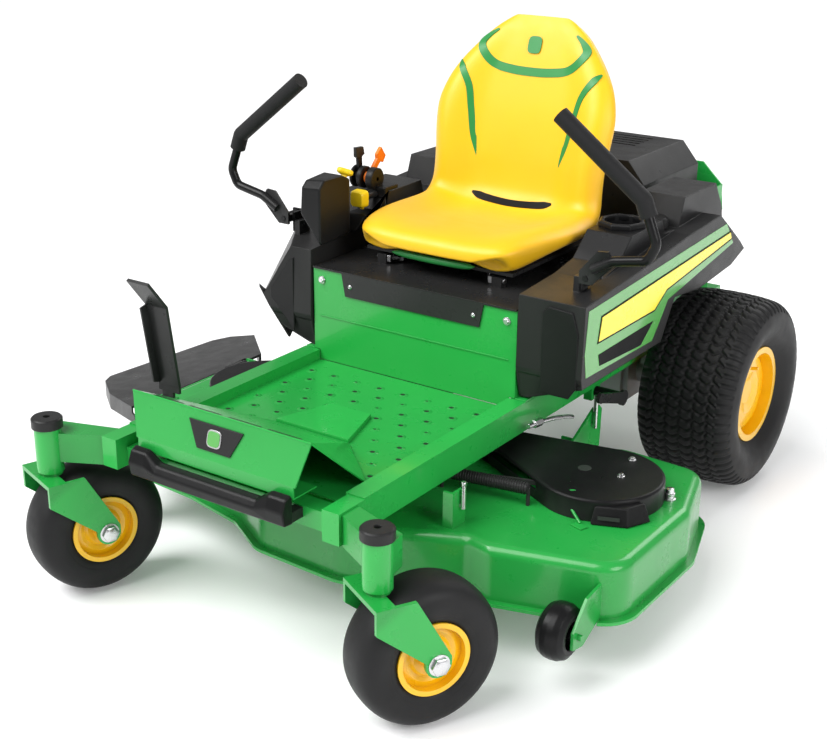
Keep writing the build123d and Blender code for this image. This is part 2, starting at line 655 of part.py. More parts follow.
def fuel_tank():
    """Fuel tank under the left fender with its filler neck."""
    tank = block(276, 410, -205, 10, 526, 610)
    tank = fillet(tank.edges().filter_by(Axis.Z), 18)
    tank += rod((*CAP_PLACE, 608), (*CAP_PLACE, 652), 22)
    tank -= rod((*CAP_PLACE, 534), (*CAP_PLACE, 660), 19)
    parts["fuel_tank"] = tank
    cap = ring_z([(0, 653), (22.6, 653), (22.6, 645), (32, 645), (32, 664), (28, 668), (0, 668)])
    parts["fuel_cap"] = Pos(*CAP_PLACE, 0) * cap


def battery():
    """Starting battery under the seat."""
    case = block(-60, 66, -640, -560, RAIL_TOP + 12, 470)
    tray = block(-260, 260, -645, -550, RAIL_TOP + 4.5, RAIL_TOP + 12)
    posts = rod((-42, -600, 469), (-42, -600, 484), 8) + rod((48, -600, 469), (48, -600, 484), 8)
    parts["battery"] = case + posts + tray


# ---- drive levers ----
GRIP_START = (517.6, -614.0, 786.0)
GRIP_BEND = (505.0, -615.0, 818.0)
GRIP_END = (321.0, -622.0, 960.0)
GRIP_BEND_R = 34.0
LEVER_TUBE_R = 10.0


def drive_levers():
    """Steering levers: a rocking base, the bent lever that swings out on it and its foam grip."""
    x, y, z = LEVER_PIVOT
    pin_x, pin_z = LEVER_PIN
    base = rod((x - 8, y, z), (x + 9, y, z), PIN_R)
    base += block(x + 7.6, x + 13, y - 18, y + 20, z - 12, pin_z + 14)
    base += block(x + 8, pin_x + 12, y + 14, y + 20, pin_z - 12, pin_z + 14)
    base += rod((pin_x, y + 20, pin_z), (pin_x, y - 36, pin_z), PIN_R)
    both_sides("lever_base", base)

    sleeve = rod((pin_x, y - 28, pin_z), (pin_x, y + 13, pin_z), 12)
    plate = [(pin_x - 14, pin_z - 12), (pin_x + 14, pin_z - 12), (pin_x + 62, pin_z + 36),
             (pin_x + 48, pin_z + 62), (pin_x + 24, pin_z + 60), (pin_x - 14, pin_z + 14)]
    lever = sleeve + prism_y(plate, y - 34, y - 28)
    lever -= rod((pin_x, y - 40, pin_z), (pin_x, y + 15, pin_z), PIN_R + FIT)
    tube_end = Vector(*GRIP_END) + (Vector(*GRIP_BEND) - Vector(*GRIP_END)).normalized() * 12
    run = [(404, -614, 662), (448, -614, 686), (522, -614, 700), (538, -614, 734), GRIP_BEND,
           tuple(tube_end)]
    lever += bent_bar(run, [40, 22, 25, GRIP_BEND_R], LEVER_TUBE_R)
    both_sides("lever", lever)

    grip = bent_bar([GRIP_START, GRIP_BEND, GRIP_END], [12], 17.5)
    grip -= bent_bar([(538, -614, 734), GRIP_BEND, tuple(tube_end)], [GRIP_BEND_R], LEVER_TUBE_R + FIT)
    both_sides("grip", grip)


# ---- mowing deck ----
DECK_OUTLINE = [
    (-60, -1098, 60), (150, -1108, 70), (372, -1004, 30), (425, -1014, 40), (668, -945, 66),
    (668, -650, 60), (612, -462, 60), (420, -450, 60), (300, -524, 50), (48, -566, 60),
    (-204, -524, 50), (-324, -450, 60), (-520, -450, 60), (-596, -540, 50), (-596, -905, 60),
    (-500, -985, 60), (-330, -1000, 60), (-170, -1034, 60),
]


def deck_face(grow):
    """The deck's plan outline, grown or shrunk, at its bottom."""
    face = make_face(Polyline(*[(x, y, DECK_BOTTOM) for x, y, r in DECK_OUTLINE], close=True))
    for x, y, radius in DECK_OUTLINE:
        corner = face.vertices().sort_by_distance((x, y, DECK_BOTTOM))[0]
        face = fillet(corner, radius)
    return offset(face, amount=grow, kind=Kind.ARC) if grow else face


def deck_shell():
    """Pressed deck with round shoulders, a lip round its foot, hangers and a discharge opening."""
    depth = DECK_TOP - DECK_BOTTOM
    shell = extrude(deck_face(0), amount=depth, dir=(0, 0, 1))
    shell = fillet(shell.faces().sort_by(Axis.Z)[-1].edges(), 20)
    hollow = extrude(deck_face(-DECK_WALL), amount=depth - DECK_WALL, dir=(0, 0, 1))
    hollow = fillet(hollow.faces().sort_by(Axis.Z)[-1].edges(), 16)
    lip = extrude(deck_face(14) - deck_face(-1), amount=7, dir=(0, 0, 1))
    for x, y in SCALP_PLACES.values():
        lip -= block(x - 46, x + 40, y - 60, y + 85, 100, 120)
    shell = shell - hollow + lip
    for x, y in SPINDLES.values():
        shell -= rod((x, y, DECK_TOP - 10), (x, y, DECK_TOP + 5), 36 + GAP)
    shell -= block(-640, -560, -850, -560, 100, 200)
    return shell + deck_fittings()


def deck_fittings():
    """Hangers, scalp wheel brackets and chute hinge rod welded on the deck."""
    fittings = block(310, 333, -994, -988, DECK_TOP - 2, 300)
    fittings += block(327, 333, -994, -950, DECK_TOP - 2, 300)
    fittings += mirrored(fittings)
    hanger = [(-552, DECK_TOP - 1), (-506, DECK_TOP - 1), (-470, 192), (-400, 188), (-396, 276),
              (-408, 288), (-432, 288)]
    for side in SIDES.values():
        fittings += prism_x(hanger, side * 327, side * 333)
    fittings += block(-333, -297, -510, -504, 200, 226)
    fittings += block(297, 333, -512, -506, 214, 240)
    for x, y in SCALP_PLACES.values():
        plate_x = x + SCALP_W / 2 + 4
        wall_y = y + 96
        bracket = [(y - 18, SCALP_Z - 20), (y + 18, SCALP_Z - 28), (wall_y, 126), (wall_y, 190),
                   (y + 30, 182), (y - 18, SCALP_Z + 14)]
        fittings += prism_x(bracket, plate_x, plate_x + 6)
        fittings += rod((x - SCALP_W / 2 - 4, y, SCALP_Z), (plate_x + 14, y, SCALP_Z), PIN_R)
        fittings += rod((x - SCALP_W / 2 - 5, y, SCALP_Z), (x - SCALP_W / 2 - 1, y, SCALP_Z), 11)
    fittings += rod((CHUTE_HINGE_X, -872, CHUTE_HINGE_Z), (CHUTE_HINGE_X, -498, CHUTE_HINGE_Z), PIN_R)
    for y in (-878, -498):
        fittings += block(CHUTE_HINGE_X - 8, -590, y, y + 6, CHUTE_HINGE_Z - 10, CHUTE_HINGE_Z + 8)
    return fittings


def scalp_wheels():
    """Anti-scalp rollers on the deck's front corners."""
    half = SCALP_W / 2
    profile = [(-half, 30), (-half, 38), (-half + 7, 49), (-half + 18, 54), (0, SCALP_R),
               (half - 18, 54), (half - 7, 49), (half, 38), (half, 30), (half - 16, 24),
               (half - 16, 12), (half, 12), (half, PIN_R + FIT), (-half, PIN_R + FIT), (-half, 12),
               (-half + 16, 12), (-half + 16, 24)]
    for side, (x, y) in SCALP_PLACES.items():
        parts["scalp_wheel_" + side] = Pos(x, y, SCALP_Z) * ring_x(profile)


def spindles():
    """Bearing housings on the deck, and the turning shafts with their pulleys and blades."""
    housing = ring_z([(SHAFT_R + FIT, 178), (34, 178), (36, 190), (36, DECK_TOP), (60, DECK_TOP),
                      (60, DECK_TOP + 6), (38, DECK_TOP + 6), (30, 246), (SHAFT_R + FIT, 246)])
    parts["spindle_housings"] = group(*[Pos(x, y, 0) * housing for x, y in SPINDLES.values()])
    shaft = rod((0, 0, 126), (0, 0, 265), SHAFT_R) + rod((0, 0, 120), (0, 0, 132), 20)
    pulley = ring_z([(0, 248), (60, 248), (54, 256), (60, 263), (0, 263)])
    half = 29.0
    blade = block(-BLADE_R, BLADE_R, -half, half, 132, 138)
    for turn in (0, 180):
        wing = prism_x([(half - 18, 137), (half, 137), (half + 6, 158), (half - 12, 158)], 120, 190)
        blade += Rot(0, 0, turn) * wing & rod((0, 0, 120), (0, 0, 170), BLADE_R)
    for side, (x, y) in SPINDLES.items():
        parts["blade_spindle_" + side] = Pos(x, y, 0) * (shaft + pulley + blade)


def deck_drive():
    """Blade belt, idler pulley on its arm, and the idler's long tension spring."""
    belt = belt_loop([(x, y, 60) for x, y in SPINDLES.values()], 251, 261, 5)
    x, y = IDLER_PLACE
    wheel = ring_z([(PIN_R + FIT, 250), (31.4, 250), (31.4, 262), (PIN_R + FIT, 262)])
    parts["idler_pulley"] = Pos(x, y, 0) * wheel
    arm = rod((x, y, 236), (x, y, 244), 16) + rod((x, y, 236), (x, y, 264), PIN_R)
    arm += prism_z([(x - 14, y + 6), (x + 12, y - 12), (118, -772), (96, -752)], 236, 244)
    arm += rod((107, -762, DECK_TOP), (107, -762, 250), 12)
    spring = rod((212, -850, 262), (396, -820, 262), 11)
    spring += rod((212, -850, DECK_TOP), (212, -850, 264), 4)
    spring += rod((396, -820, DECK_TOP), (396, -820, 264), 4)
    parts["blade_belt_drive"] = group(belt, arm, spring)


def belt_covers():
    """Teardrop covers over the outer spindle pulleys."""
    def teardrop(shrink, z0, z1):
        rings = [Pos(485, -690, z0) * Edge.make_circle(130 - shrink),
                 Pos(235, -650, z0) * Edge.make_circle(46 - shrink)]
        return extrude(make_hull(rings), amount=z1 - z0, dir=(0, 0, 1))

    top = 272.0
    cover = teardrop(0, DECK_TOP + 0.2, top)
    cover = fillet(cover.faces().sort_by(Axis.Z)[-1].edges(), 6)
    cover -= teardrop(3, DECK_TOP - 2, top - 3)
    belt_way = [(480, -762), (40, -900), (-60, -880), (-60, -610), (480, -610)]
    cover -= prism_z(belt_way, 247, 265.5) & block(100, 460, -900, -600, 240, 268)
    cover -= prism_z([(188, -640), (250, -676), (124, -792), (78, -752)], 231, 248)
    right = Pos(2 * SPINDLES["centre"][0], 0, 0) * mirrored(cover)
    parts["belt_covers"] = group(cover, right)


def lift_links():
    """Hanger rods between the lift arms and the deck."""
    links = []
    for side in SIDES.values():
        for y, low, high in ((-440, 246, 322), (-968, 262, 318)):
            x = side * 340
            link = rod((x, y, low), (x, y, high), 5)
            link += rod((side * 333, y, low + 4), (x, y, low + 4), 4.5)
            link += rod((x, y, high - 4), (side * 345.4, y, high - 4), 4.5)
            links.append(link)
    parts["lift_links"] = group(*links)


def lift_shaft():
    """Cross shaft under the rails whose arms raise the deck."""
    y = LIFT_SHAFT_Y
    arm_end = (-440, 318)
    shaft = rod((-354, y, LIFT_SHAFT_Z), (354, y, LIFT_SHAFT_Z), LIFT_SHAFT_R)
    for side in SIDES.values():
        x0, x1 = side * 346, side * 354
        shaft += rod((x0, y, LIFT_SHAFT_Z), (x1, y, LIFT_SHAFT_Z), 18)
        shaft += rod((x0, *arm_end), (x1, *arm_end), 12)
        shaft += prism_x([(y, LIFT_SHAFT_Z - 14), (y, LIFT_SHAFT_Z + 14),
                          (arm_end[0], arm_end[1] + 11), (arm_end[0], arm_end[1] - 11)], x0, x1)
    parts["lift_shaft"] = shaft


def lift_pedal():
    """Bent foot pedal on the right rail that raises the deck."""
    y, z = PEDAL_PIVOT
    strip = [(y + 2, z + 4), (y + 4, 425), (-1148, 596), (-1194, 655), (-1189, 659), (-1142, 599),
             (y + 10, 426), (y + 9, z + 4)]
    pedal = prism_x(strip, -296, -240)
    pedal -= block(-300, -285.6, y - 40, y + 30, z - 30, z + 22)
    pedal -= block(-256.4, -230, y - 40, y + 30, z - 30, z + 22)
    pedal += prism_x([(y + 4, 425), (-1148, 596), (-1164, 592), (y - 12, 430)], -296, -292)
    pedal += rod((-285.6, y, z), (-256.4, y, z), 11)
    pedal -= rod((-300, y, z), (-230, y, z), PIN_R + FIT)
    parts["lift_pedal"] = pedal


def discharge_chute():
    """Flap over the side discharge: a sloping wing with a skirt, hinged on the deck's rod."""
    outline = [(-620, -890), (-798, -800), (-912, -708), (-936, -668), (-892, -330), (-862, -290),
               (-792, -270), (-620, -440)]
    wing = prism_z(outline, 60, 260)
    plate = prism_y([(-600, 214), (-940, 148), (-940, 142), (-600, 208)], -920, -250)
    skirt = prism_y([(-600, 210), (-940, 144), (-940, 108), (-600, 174)], -920, -250)
    inner = inset_outline(outline, 4)
    chute = (wing & plate) + ((wing - inner) & skirt - block(-624, -600, -885, -445, 100, 230))
    for y0, y1 in ((-860, -800), (-570, -510)):
        chute += rod((CHUTE_HINGE_X, y0, CHUTE_HINGE_Z), (CHUTE_HINGE_X, y1, CHUTE_HINGE_Z), 10)
        chute += block(-628, -618, y0, y1, 200, 212)
    for y0, y1 in ((-895, -864), (-508, -484)):
        chute -= block(-638, -600, y0, y1, 190, 230)
    rod_way = rod((CHUTE_HINGE_X, -900, CHUTE_HINGE_Z), (CHUTE_HINGE_X, -400, CHUTE_HINGE_Z), PIN_R + FIT)
    parts["discharge_chute"] = chute - rod_way


def inset_outline(outline, depth):
    """Tall block on a plan outline moved inwards."""
    face = make_face(Polyline(*[(x, y, 50) for x, y in outline], close=True))
    smaller = offset(face, amount=-depth, kind=Kind.INTERSECTION)
    return extrude(smaller, amount=230, dir=(0, 0, 1))


# ---- assembly ----
def build():
    """Make every part."""
    for make in (
        rear_wheels, front_wheels, frame_rails, caster_arms, cross_members, trim_caps,
        rear_guard, floor_pan, nose_cover, front_step, seat_tower, seat_deck, seat_plate,
        seat_hinge, seat, fender_left, fender_right, control_console, console_controls, engine_cover,
        engine, crank_pulley, transaxles, drive_belt, fuel_tank, battery, drive_levers,
        scalp_wheels, spindles, deck_drive, belt_covers, lift_links, lift_shaft, lift_pedal,
        discharge_chute,
    ):
        make()
    parts["deck_shell"] = deck_shell()


def write():
    """Move every part to the row frame and write its file."""
    box = group(*parts.values()).bounding_box()
    shift = Pos(-(box.min.X + box.max.X) / 2, -(box.min.Y + box.max.Y) / 2, -box.min.Z)
    os.makedirs("parts", exist_ok=True)
    for name, part in parts.items():
        export_step(shift * part, "parts/" + name + ".step")
    print("nodes", len(parts), "row frame shift", shift.position, "size", box.size)


build()
write()
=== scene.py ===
"""Zero-turn riding lawn mower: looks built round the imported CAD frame.

Positions are millimetres in the vehicle's own axes: X to the machine's left, Y to the rear,
Z up, with the origin on the ground under the rear axle. at() turns them into the row frame.
"""
import json
import math

import bmesh
import bpy
from mathutils import Matrix, Vector


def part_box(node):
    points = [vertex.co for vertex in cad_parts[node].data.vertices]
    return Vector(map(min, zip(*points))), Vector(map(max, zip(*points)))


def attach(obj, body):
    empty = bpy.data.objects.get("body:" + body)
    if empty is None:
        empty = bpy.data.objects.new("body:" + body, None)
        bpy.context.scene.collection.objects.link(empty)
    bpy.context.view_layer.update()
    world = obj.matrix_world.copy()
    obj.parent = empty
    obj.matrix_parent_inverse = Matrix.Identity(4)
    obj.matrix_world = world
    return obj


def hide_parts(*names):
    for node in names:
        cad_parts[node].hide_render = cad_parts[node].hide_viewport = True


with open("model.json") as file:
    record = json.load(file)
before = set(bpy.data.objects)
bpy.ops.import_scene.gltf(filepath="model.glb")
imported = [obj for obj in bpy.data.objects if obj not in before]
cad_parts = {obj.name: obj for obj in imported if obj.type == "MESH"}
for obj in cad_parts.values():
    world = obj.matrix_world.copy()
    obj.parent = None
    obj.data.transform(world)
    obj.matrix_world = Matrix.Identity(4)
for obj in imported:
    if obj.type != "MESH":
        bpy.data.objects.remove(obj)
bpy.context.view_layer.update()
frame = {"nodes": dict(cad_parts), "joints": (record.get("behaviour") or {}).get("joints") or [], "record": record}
NODES = frame["nodes"]
JOINTS = {joint["name"]: joint for joint in frame["joints"]}
REAR_AXLE = JOINTS["rear_wheel_left_spin"]["pos_m"]
REAR_HALF_TRACK = 0.441
ORIGIN = Vector((REAR_AXLE[0] - REAR_HALF_TRACK, REAR_AXLE[1], 0))
COLLECTION = bpy.context.scene.collection


def at(x, y, z):
    """A vehicle position in millimetres as a row-frame point in metres."""
    return ORIGIN + Vector((x, y, z)) / 1000


# ---- materials ----
class Nodes:
    """Small helper for building one material's node tree."""

    def __init__(self, name):
        self.material = bpy.data.materials.new(name)
        self.material.use_nodes = True
        self.tree = self.material.node_tree
        self.shader = self.tree.nodes["Principled BSDF"]
        self.coords = self.add("ShaderNodeTexCoord").outputs["Object"]

    def add(self, kind, **values):
        node = self.tree.nodes.new(kind)
        for key, value in values.items():
            if hasattr(node, key):
                setattr(node, key, value)
            else:
                node.inputs[key].default_value = value
        return node

    def link(self, start, end):
        self.tree.links.new(start, end)

    def noise(self, scale, detail=4.0, rough=0.55):
        node = self.add("ShaderNodeTexNoise", Scale=scale, Detail=detail, Roughness=rough)
        self.link(self.coords, node.inputs["Vector"])
        return node.outputs["Fac"]

    def voronoi(self, scale):
        node = self.add("ShaderNodeTexVoronoi", Scale=scale)
        self.link(self.coords, node.inputs["Vector"])
        return node.outputs["Distance"]

    def remap(self, value, low, high, out_low, out_high):
        node = self.add("ShaderNodeMapRange")
        for key, number in (("From Min", low), ("From Max", high), ("To Min", out_low),
                            ("To Max", out_high)):
            node.inputs[key].default_value = number
        self.link(value, node.inputs["Value"])
        return node.outputs["Result"]

    def mix(self, factor, first, second):
        node = self.add("ShaderNodeMix", data_type="RGBA")
        for socket, value in ((node.inputs[6], first), (node.inputs[7], second)):
            if isinstance(value, tuple):
                socket.default_value = (*value, 1)
            else:
                self.link(value, socket)
        self.link(factor, node.inputs[0])
        return node.outputs[2]

    def bump(self, height, strength, distance, normal=None):
        node = self.add("ShaderNodeBump", Strength=strength, Distance=distance)
        self.link(height, node.inputs["Height"])
        if normal:
            self.link(normal, node.inputs["Normal"])
        return node.outputs["Normal"]


def scaled(color, factor):
    return tuple(min(1.0, channel * factor) for channel in color)


def finish_material(name, color, rough, rough_spread=0.08, metallic=0.0, coat=0.0, coat_rough=0.1,
                    grain=400.0, grain_depth=0.00005, mottle=0.08, edge=0.0012, sharp_edge_colour=None, ior=1.5,
                    sheen=0.0, pebble=False):
    """Procedural finish: mottled colour, uneven gloss, surface grain and softened edges, with sharp convex edges
    tinted lighter.
    """
    n = Nodes(name)
    broad = n.remap(n.noise(7.0, 5.0), 0.3, 0.7, 0.0, 1.0)
    tone = n.mix(broad, scaled(color, 1 - mottle), scaled(color, 1 + mottle))
    dust = n.remap(n.noise(38.0, 8.0, 0.7), 0.56, 0.78, 0.0, 0.35)
    tone = n.mix(n.remap(dust, 0.0, 1.0, 0.0, mottle * 2), tone, scaled(color, 1 - 2.5 * mottle))
    if sharp_edge_colour:
        # Sharp convex edges, picked out by pointiness, take a lighter colour.
        geometry = n.add("ShaderNodeNewGeometry")
        sharp_edge_mask = n.remap(geometry.outputs["Pointiness"], 0.53, 0.60, 0.0, 0.55)
        tone = n.mix(sharp_edge_mask, tone, sharp_edge_colour)
    n.link(tone, n.shader.inputs["Base Color"])
    gloss = n.remap(n.noise(23.0, 6.0), 0.3, 0.7, rough - rough_spread, rough + rough_spread)
    n.link(gloss, n.shader.inputs["Roughness"])
    normal = n.add("ShaderNodeBevel", samples=4, Radius=edge).outputs["Normal"] if edge else None
    height = n.voronoi(grain) if pebble else n.noise(grain, 3.0)
    n.link(n.bump(height, 0.6, grain_depth, normal), n.shader.inputs["Normal"])
    for socket, value in (("Metallic", metallic), ("Coat Weight", coat), ("Coat Roughness", coat_rough),
                          ("IOR", ior), ("Sheen Weight", sheen)):
        n.shader.inputs[socket].default_value = value
    return n.material


GREEN = (0.014, 0.29, 0.045)
YELLOW = (0.90, 0.50, 0.001)

MATERIALS = {
    "green_paint": finish_material("green_paint", GREEN, 0.30, 0.05, coat=0.4, coat_rough=0.10, ior=1.38,
                                   grain=620, grain_depth=0.00004, mottle=0.05, sharp_edge_colour=scaled(GREEN, 1.5)),
    "black_paint": finish_material("black_paint", (0.006, 0.006, 0.0064), 0.30, 0.06, coat=0.04, ior=1.26,
                                   grain=700, mottle=0.15, sharp_edge_colour=(0.045, 0.045, 0.045)),
    "yellow_paint": finish_material("yellow_paint", YELLOW, 0.32, 0.05, coat=0.4, grain=600,
                                    grain_depth=0.00004, mottle=0.04),
    "black_plastic": finish_material("black_plastic", (0.006, 0.006, 0.0064), 0.33, 0.06, ior=1.27,
                                     grain=1500, grain_depth=0.00010, mottle=0.12, edge=0.0035,
                                     pebble=True, sharp_edge_colour=(0.035, 0.035, 0.035)),
    "seat_vinyl": finish_material("seat_vinyl", YELLOW, 0.44, 0.05, grain=900, grain_depth=0.00010,
                                  mottle=0.03, edge=0.0, sheen=0.1, pebble=True),
    "tyre": finish_material("tyre", (0.012, 0.012, 0.0125), 0.52, 0.08, ior=1.30, grain=900,
                            grain_depth=0.00012, mottle=0.22, edge=0.0),
    "bright_steel": finish_material("bright_steel", (0.62, 0.62, 0.63), 0.28, 0.08, metallic=1.0,
                                    grain=900, grain_depth=0.00003, mottle=0.06),
    "cast_metal": finish_material("cast_metal", (0.40, 0.40, 0.41), 0.48, 0.08, metallic=1.0, grain=260,
                                  grain_depth=0.00025, mottle=0.1),
    "belt_rubber": finish_material("belt_rubber", (0.016, 0.016, 0.016), 0.70, 0.08, grain=1200,
                                   grain_depth=0.00012, mottle=0.2),
    "grip_foam": finish_material("grip_foam", (0.009, 0.009, 0.0095), 0.62, 0.06, ior=1.28, grain=1700,
                                 grain_depth=0.00028, mottle=0.15, edge=0.0, sheen=0.05, pebble=True),
    "yellow_plastic": finish_material("yellow_plastic", (0.92, 0.66, 0.01), 0.34, 0.05, grain=1100,
                                      grain_depth=0.00005, mottle=0.04),
    "orange_plastic": finish_material("orange_plastic", (0.90, 0.20, 0.01), 0.34, 0.05, grain=1100,
                                      grain_depth=0.00005, mottle=0.04),
    "tank_plastic": finish_material("tank_plastic", (0.022, 0.022, 0.023), 0.5, 0.06, grain=1100,
                                    mottle=0.1, pebble=True),
}
GREEN_TRIM = finish_material("green_trim", (0.014, 0.23, 0.045), 0.42, 0.05, grain=900, mottle=0.05,
                             edge=0.0)
GREEN_DECAL = finish_material("green_decal", (0.085, 0.36, 0.070), 0.24, 0.04, coat=0.6, coat_rough=0.08,
                              grain=700, grain_depth=0.00002, mottle=0.03, edge=0.0)
YELLOW_DECAL = finish_material("yellow_decal", (0.93, 0.78, 0.004), 0.26, 0.04, coat=0.5, grain=700,
                               grain_depth=0.00002, mottle=0.03, edge=0.0)
# Black print on the fender decals, also painted shade in the seat's slot.
BLACK_DECAL_AND_SHADE = finish_material("black_decal_and_shade", (0.006, 0.006, 0.0064), 0.5, 0.04, ior=1.2, grain=700,
                              grain_depth=0.00002, mottle=0.08, edge=0.0)
# Near-black tinted green: painted shade in the grip holes and slots, also the colour of the flat spindle caps.
PAINTED_SHADE_AND_CAPS = finish_material("painted_shade_and_caps", (0.006, 0.012, 0.007), 0.7, 0.05, grain=500, mottle=0.1,
                            edge=0.0)


def paint_cad_nodes():
    """Gives every CAD node its slot's procedural finish."""
    for part in frame["record"]["subparts"]:
        node = NODES[part["node"]]
        material = MATERIALS[part["material_slot"]]
        if not node.material_slots:
            node.data.materials.append(material)
        for material_slot in node.material_slots:
            material_slot.material = material


# ---- mesh helpers ----
def add_mesh(name, mesh, finish, body, slot=None):
    """An object for a finished mesh, riding on a body; finish names its slot or is its material."""
    mesh.materials.append(MATERIALS[finish] if slot is None else finish)
    piece = bpy.data.objects.new(name, mesh)
    COLLECTION.objects.link(piece)
    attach(piece, body)
    return piece


def loop_faces(rows, count, caps=True, wrap=False):
    """Quads between rows of count points each, which wrap round, and the two end faces."""
    faces = []
    for i in range(rows if wrap else rows - 1):
        j = (i + 1) % rows
        for k in range(count):
            nxt = (k + 1) % count
            faces.append((i * count + k, i * count + nxt, j * count + nxt, j * count + k))
    if caps and not wrap:
        last = (rows - 1) * count
        faces += [tuple(range(count)), tuple(last + k for k in range(count))]
    return faces


def circle(count):
    """Cosine and sine of evenly spaced turns."""
    turns = (2 * math.pi * k / count for k in range(count))
    return [(math.cos(turn), math.sin(turn)) for turn in turns]


def add_piece(name, vertices, faces, finish, body, slot=None, smooth=True):
    """A mesh piece from row-frame points, riding on a body."""
    mesh = bpy.data.meshes.new(name)
    mesh.from_pydata([tuple(v) for v in vertices], [], faces)
    bm = bmesh.new()
    bm.from_mesh(mesh)
    bmesh.ops.recalc_face_normals(bm, faces=bm.faces)
    bm.to_mesh(mesh)
    bm.free()
    for polygon in mesh.polygons:
        polygon.use_smooth = smooth
    return add_mesh(name, mesh, finish, body, slot)


def extruded(name, first, second, finish, body):
    """A flat-sided solid between two matching outlines."""
    return add_piece(name, first + second, loop_faces(2, len(first)), finish, body, smooth=False)


def bevelled(piece, width, segments=2, angle=35):
    """Rounds a piece's edges by a width in millimetres."""
    bevel = piece.modifiers.new("bevel", "BEVEL")
    bevel.width = width / 1000
    bevel.segments = segments
    bevel.limit_method = "ANGLE"
    bevel.angle_limit = math.radians(angle)
    bevel.harden_normals = False
    return piece


def smooth_by_angle(mesh, angle=32):
    """Marks sharp edges so that smooth shading keeps the corners."""
    bm = bmesh.new()
    bm.from_mesh(mesh)
    limit = math.radians(angle)
    for edge in bm.edges:
        edge.smooth = len(edge.link_faces) == 2 and edge.calc_face_angle(0) < limit
    bm.to_mesh(mesh)
    bm.free()


def frame_of(axis):
    """Two unit vectors across an axis."""
    axis = Vector(axis).normalized()
    helper = Vector((0, 0, 1)) if abs(axis.z) < 0.9 else Vector((1, 0, 0))
    across = axis.cross(helper).normalized()
    return across, axis.cross(across).normalized()


def lathe(name, centre, axis, profile, finish, body, count=48, slot=None, closed=False, caps=True):
    """A turned piece: profile holds (distance along axis, radius) pairs in millimetres."""
    axis = Vector(axis).normalized()
    across, up = frame_of(axis)
    vertices = []
    for along, radius in profile:
        for c, s in circle(count):
            vertices.append(centre + (axis * along + (across * c + up * s) * radius) / 1000)
    piece = add_piece(name, vertices, loop_faces(len(profile), count, caps, closed), finish, body, slot)
    smooth_by_angle(piece.data)
    return piece


def hex_bolt(name, place, axis, size, body):
    """Hexagon bolt head on a washer, standing on a surface."""
    washer = [(-0.5, size * 0.68), (1.6, size * 0.68), (2.0, size * 0.62)]
    lathe(name + "_washer", place, axis, washer, "bright_steel", body, 32)
    profile = [(1.8, size / 2), (size * 0.42, size / 2), (size * 0.5, size * 0.42)]
    bevelled(lathe(name, place, axis, profile, "bright_steel", body, 6), 0.4, 2, 25)


def dome_screw(name, place, axis, size, body):
    """Low round screw head with a socket."""
    profile = [(-0.5, size), (0.6, size), (1.6, size * 0.86), (2.4, size * 0.6), (2.6, size * 0.42),
               (1.0, size * 0.36), (1.0, size * 0.02)]
    lathe(name, place, axis, profile, "bright_steel", body, 32)


def panel(name, corners, thickness, finish, body, slot=None, bevel=0.4):
    """Thin flat plate on an outline of row-frame points, thickened along its normal."""
    count = len(corners)
    normal = (corners[1] - corners[0]).cross(corners[2] - corners[1]).normalized()
    back = [c + normal * thickness / 1000 for c in corners]
    piece = add_piece(name, corners + back, loop_faces(2, count), finish, body, slot, smooth=False)
    if bevel:
        bevelled(piece, bevel)


def rounded_square(place, across, up, half, count, power=4, stretch=1.0):
    """Outline of a square with rounded corners round a row-frame point."""
    corners = []
    for c, s in circle(count):
        reach = half / (abs(c) ** power + abs(s) ** power) ** (1 / power) / 1000
        corners.append(place + across * (c * reach) + up * (s * reach * stretch))
    return corners


def catmull(points, steps):
    """Smooth curve through points of any length, with steps samples per span."""
    points = [tuple(p) for p in points]
    padded = [points[0]] + points + [points[-1]]
    result = []
    for i in range(1, len(padded) - 2):
        p0, p1, p2, p3 = padded[i - 1:i + 3]
        for k in range(steps):
            t = k / steps
            result.append(tuple(
                0.5 * (2 * b + (c - a) * t + (2 * a - 5 * b + 4 * c - d) * t * t
                       + (3 * b - a - 3 * c + d) * t ** 3)
                for a, b, c, d in zip(p0, p1, p2, p3)))
    result.append(points[-1])
    return result


def tube(name, points, radius, finish, body, count=16, steps=6):
    """Round bar through row-frame points."""
    path = [Vector(p) for p in catmull(points, steps)]
    vertices = []
    side = None
    for i, place in enumerate(path):
        ahead = path[min(i + 1, len(path) - 1)] - path[max(i - 1, 0)]
        ahead.normalize()
        if side is None:
            side, up = frame_of(ahead)
        side = (side - ahead * side.dot(ahead)).normalized()
        up = ahead.cross(side)
        for c, s in circle(count):
            vertices.append(place + (side * c + up * s) * radius / 1000)
    piece = add_piece(name, vertices, loop_faces(len(path), count), finish, body)
    smooth_by_angle(piece.data, 50)


# ---- tyres ----
def smooth_step(value, low, high):
    t = min(1.0, max(0.0, (value - low) / (high - low)))
    return t * t * (3 - 2 * t)


def tyre_shell(name, centre, axle, outer_profile, inner_profile, around, tread, node, body):
    """Hollow tyre; tread(x, turn, radius) gives how deep the surface is cut there."""
    across, up = frame_of(axle)
    profile = catmull(outer_profile, 10)
    inner = catmull(inner_profile, 4)
    rows = profile + inner[::-1]
    outer_rows = len(profile)
    vertices = []
    for i, (x, radius) in enumerate(rows):
        for k in range(around):
            turn = 2 * math.pi * k / around
            depth = tread(x, turn, radius) if i < outer_rows else 0.0
            ring = across * math.cos(turn) + up * math.sin(turn)
            vertices.append(centre + (axle * x + ring * (radius - depth)) / 1000)
    piece = add_piece(name, vertices, loop_faces(len(rows), around, wrap=True), "tyre", body)
    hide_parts(node)


TREAD_PITCHES = 60
TREAD_DEPTH = 5.5
TREAD_HALF_WIDTH = 116.0
TREAD_INNER_RADIUS = 196.0
ZIGZAG = 16.5
GROOVES = (-66.0, -33.0, 0.0, 33.0, 66.0)
SHOULDER_X = 84.0


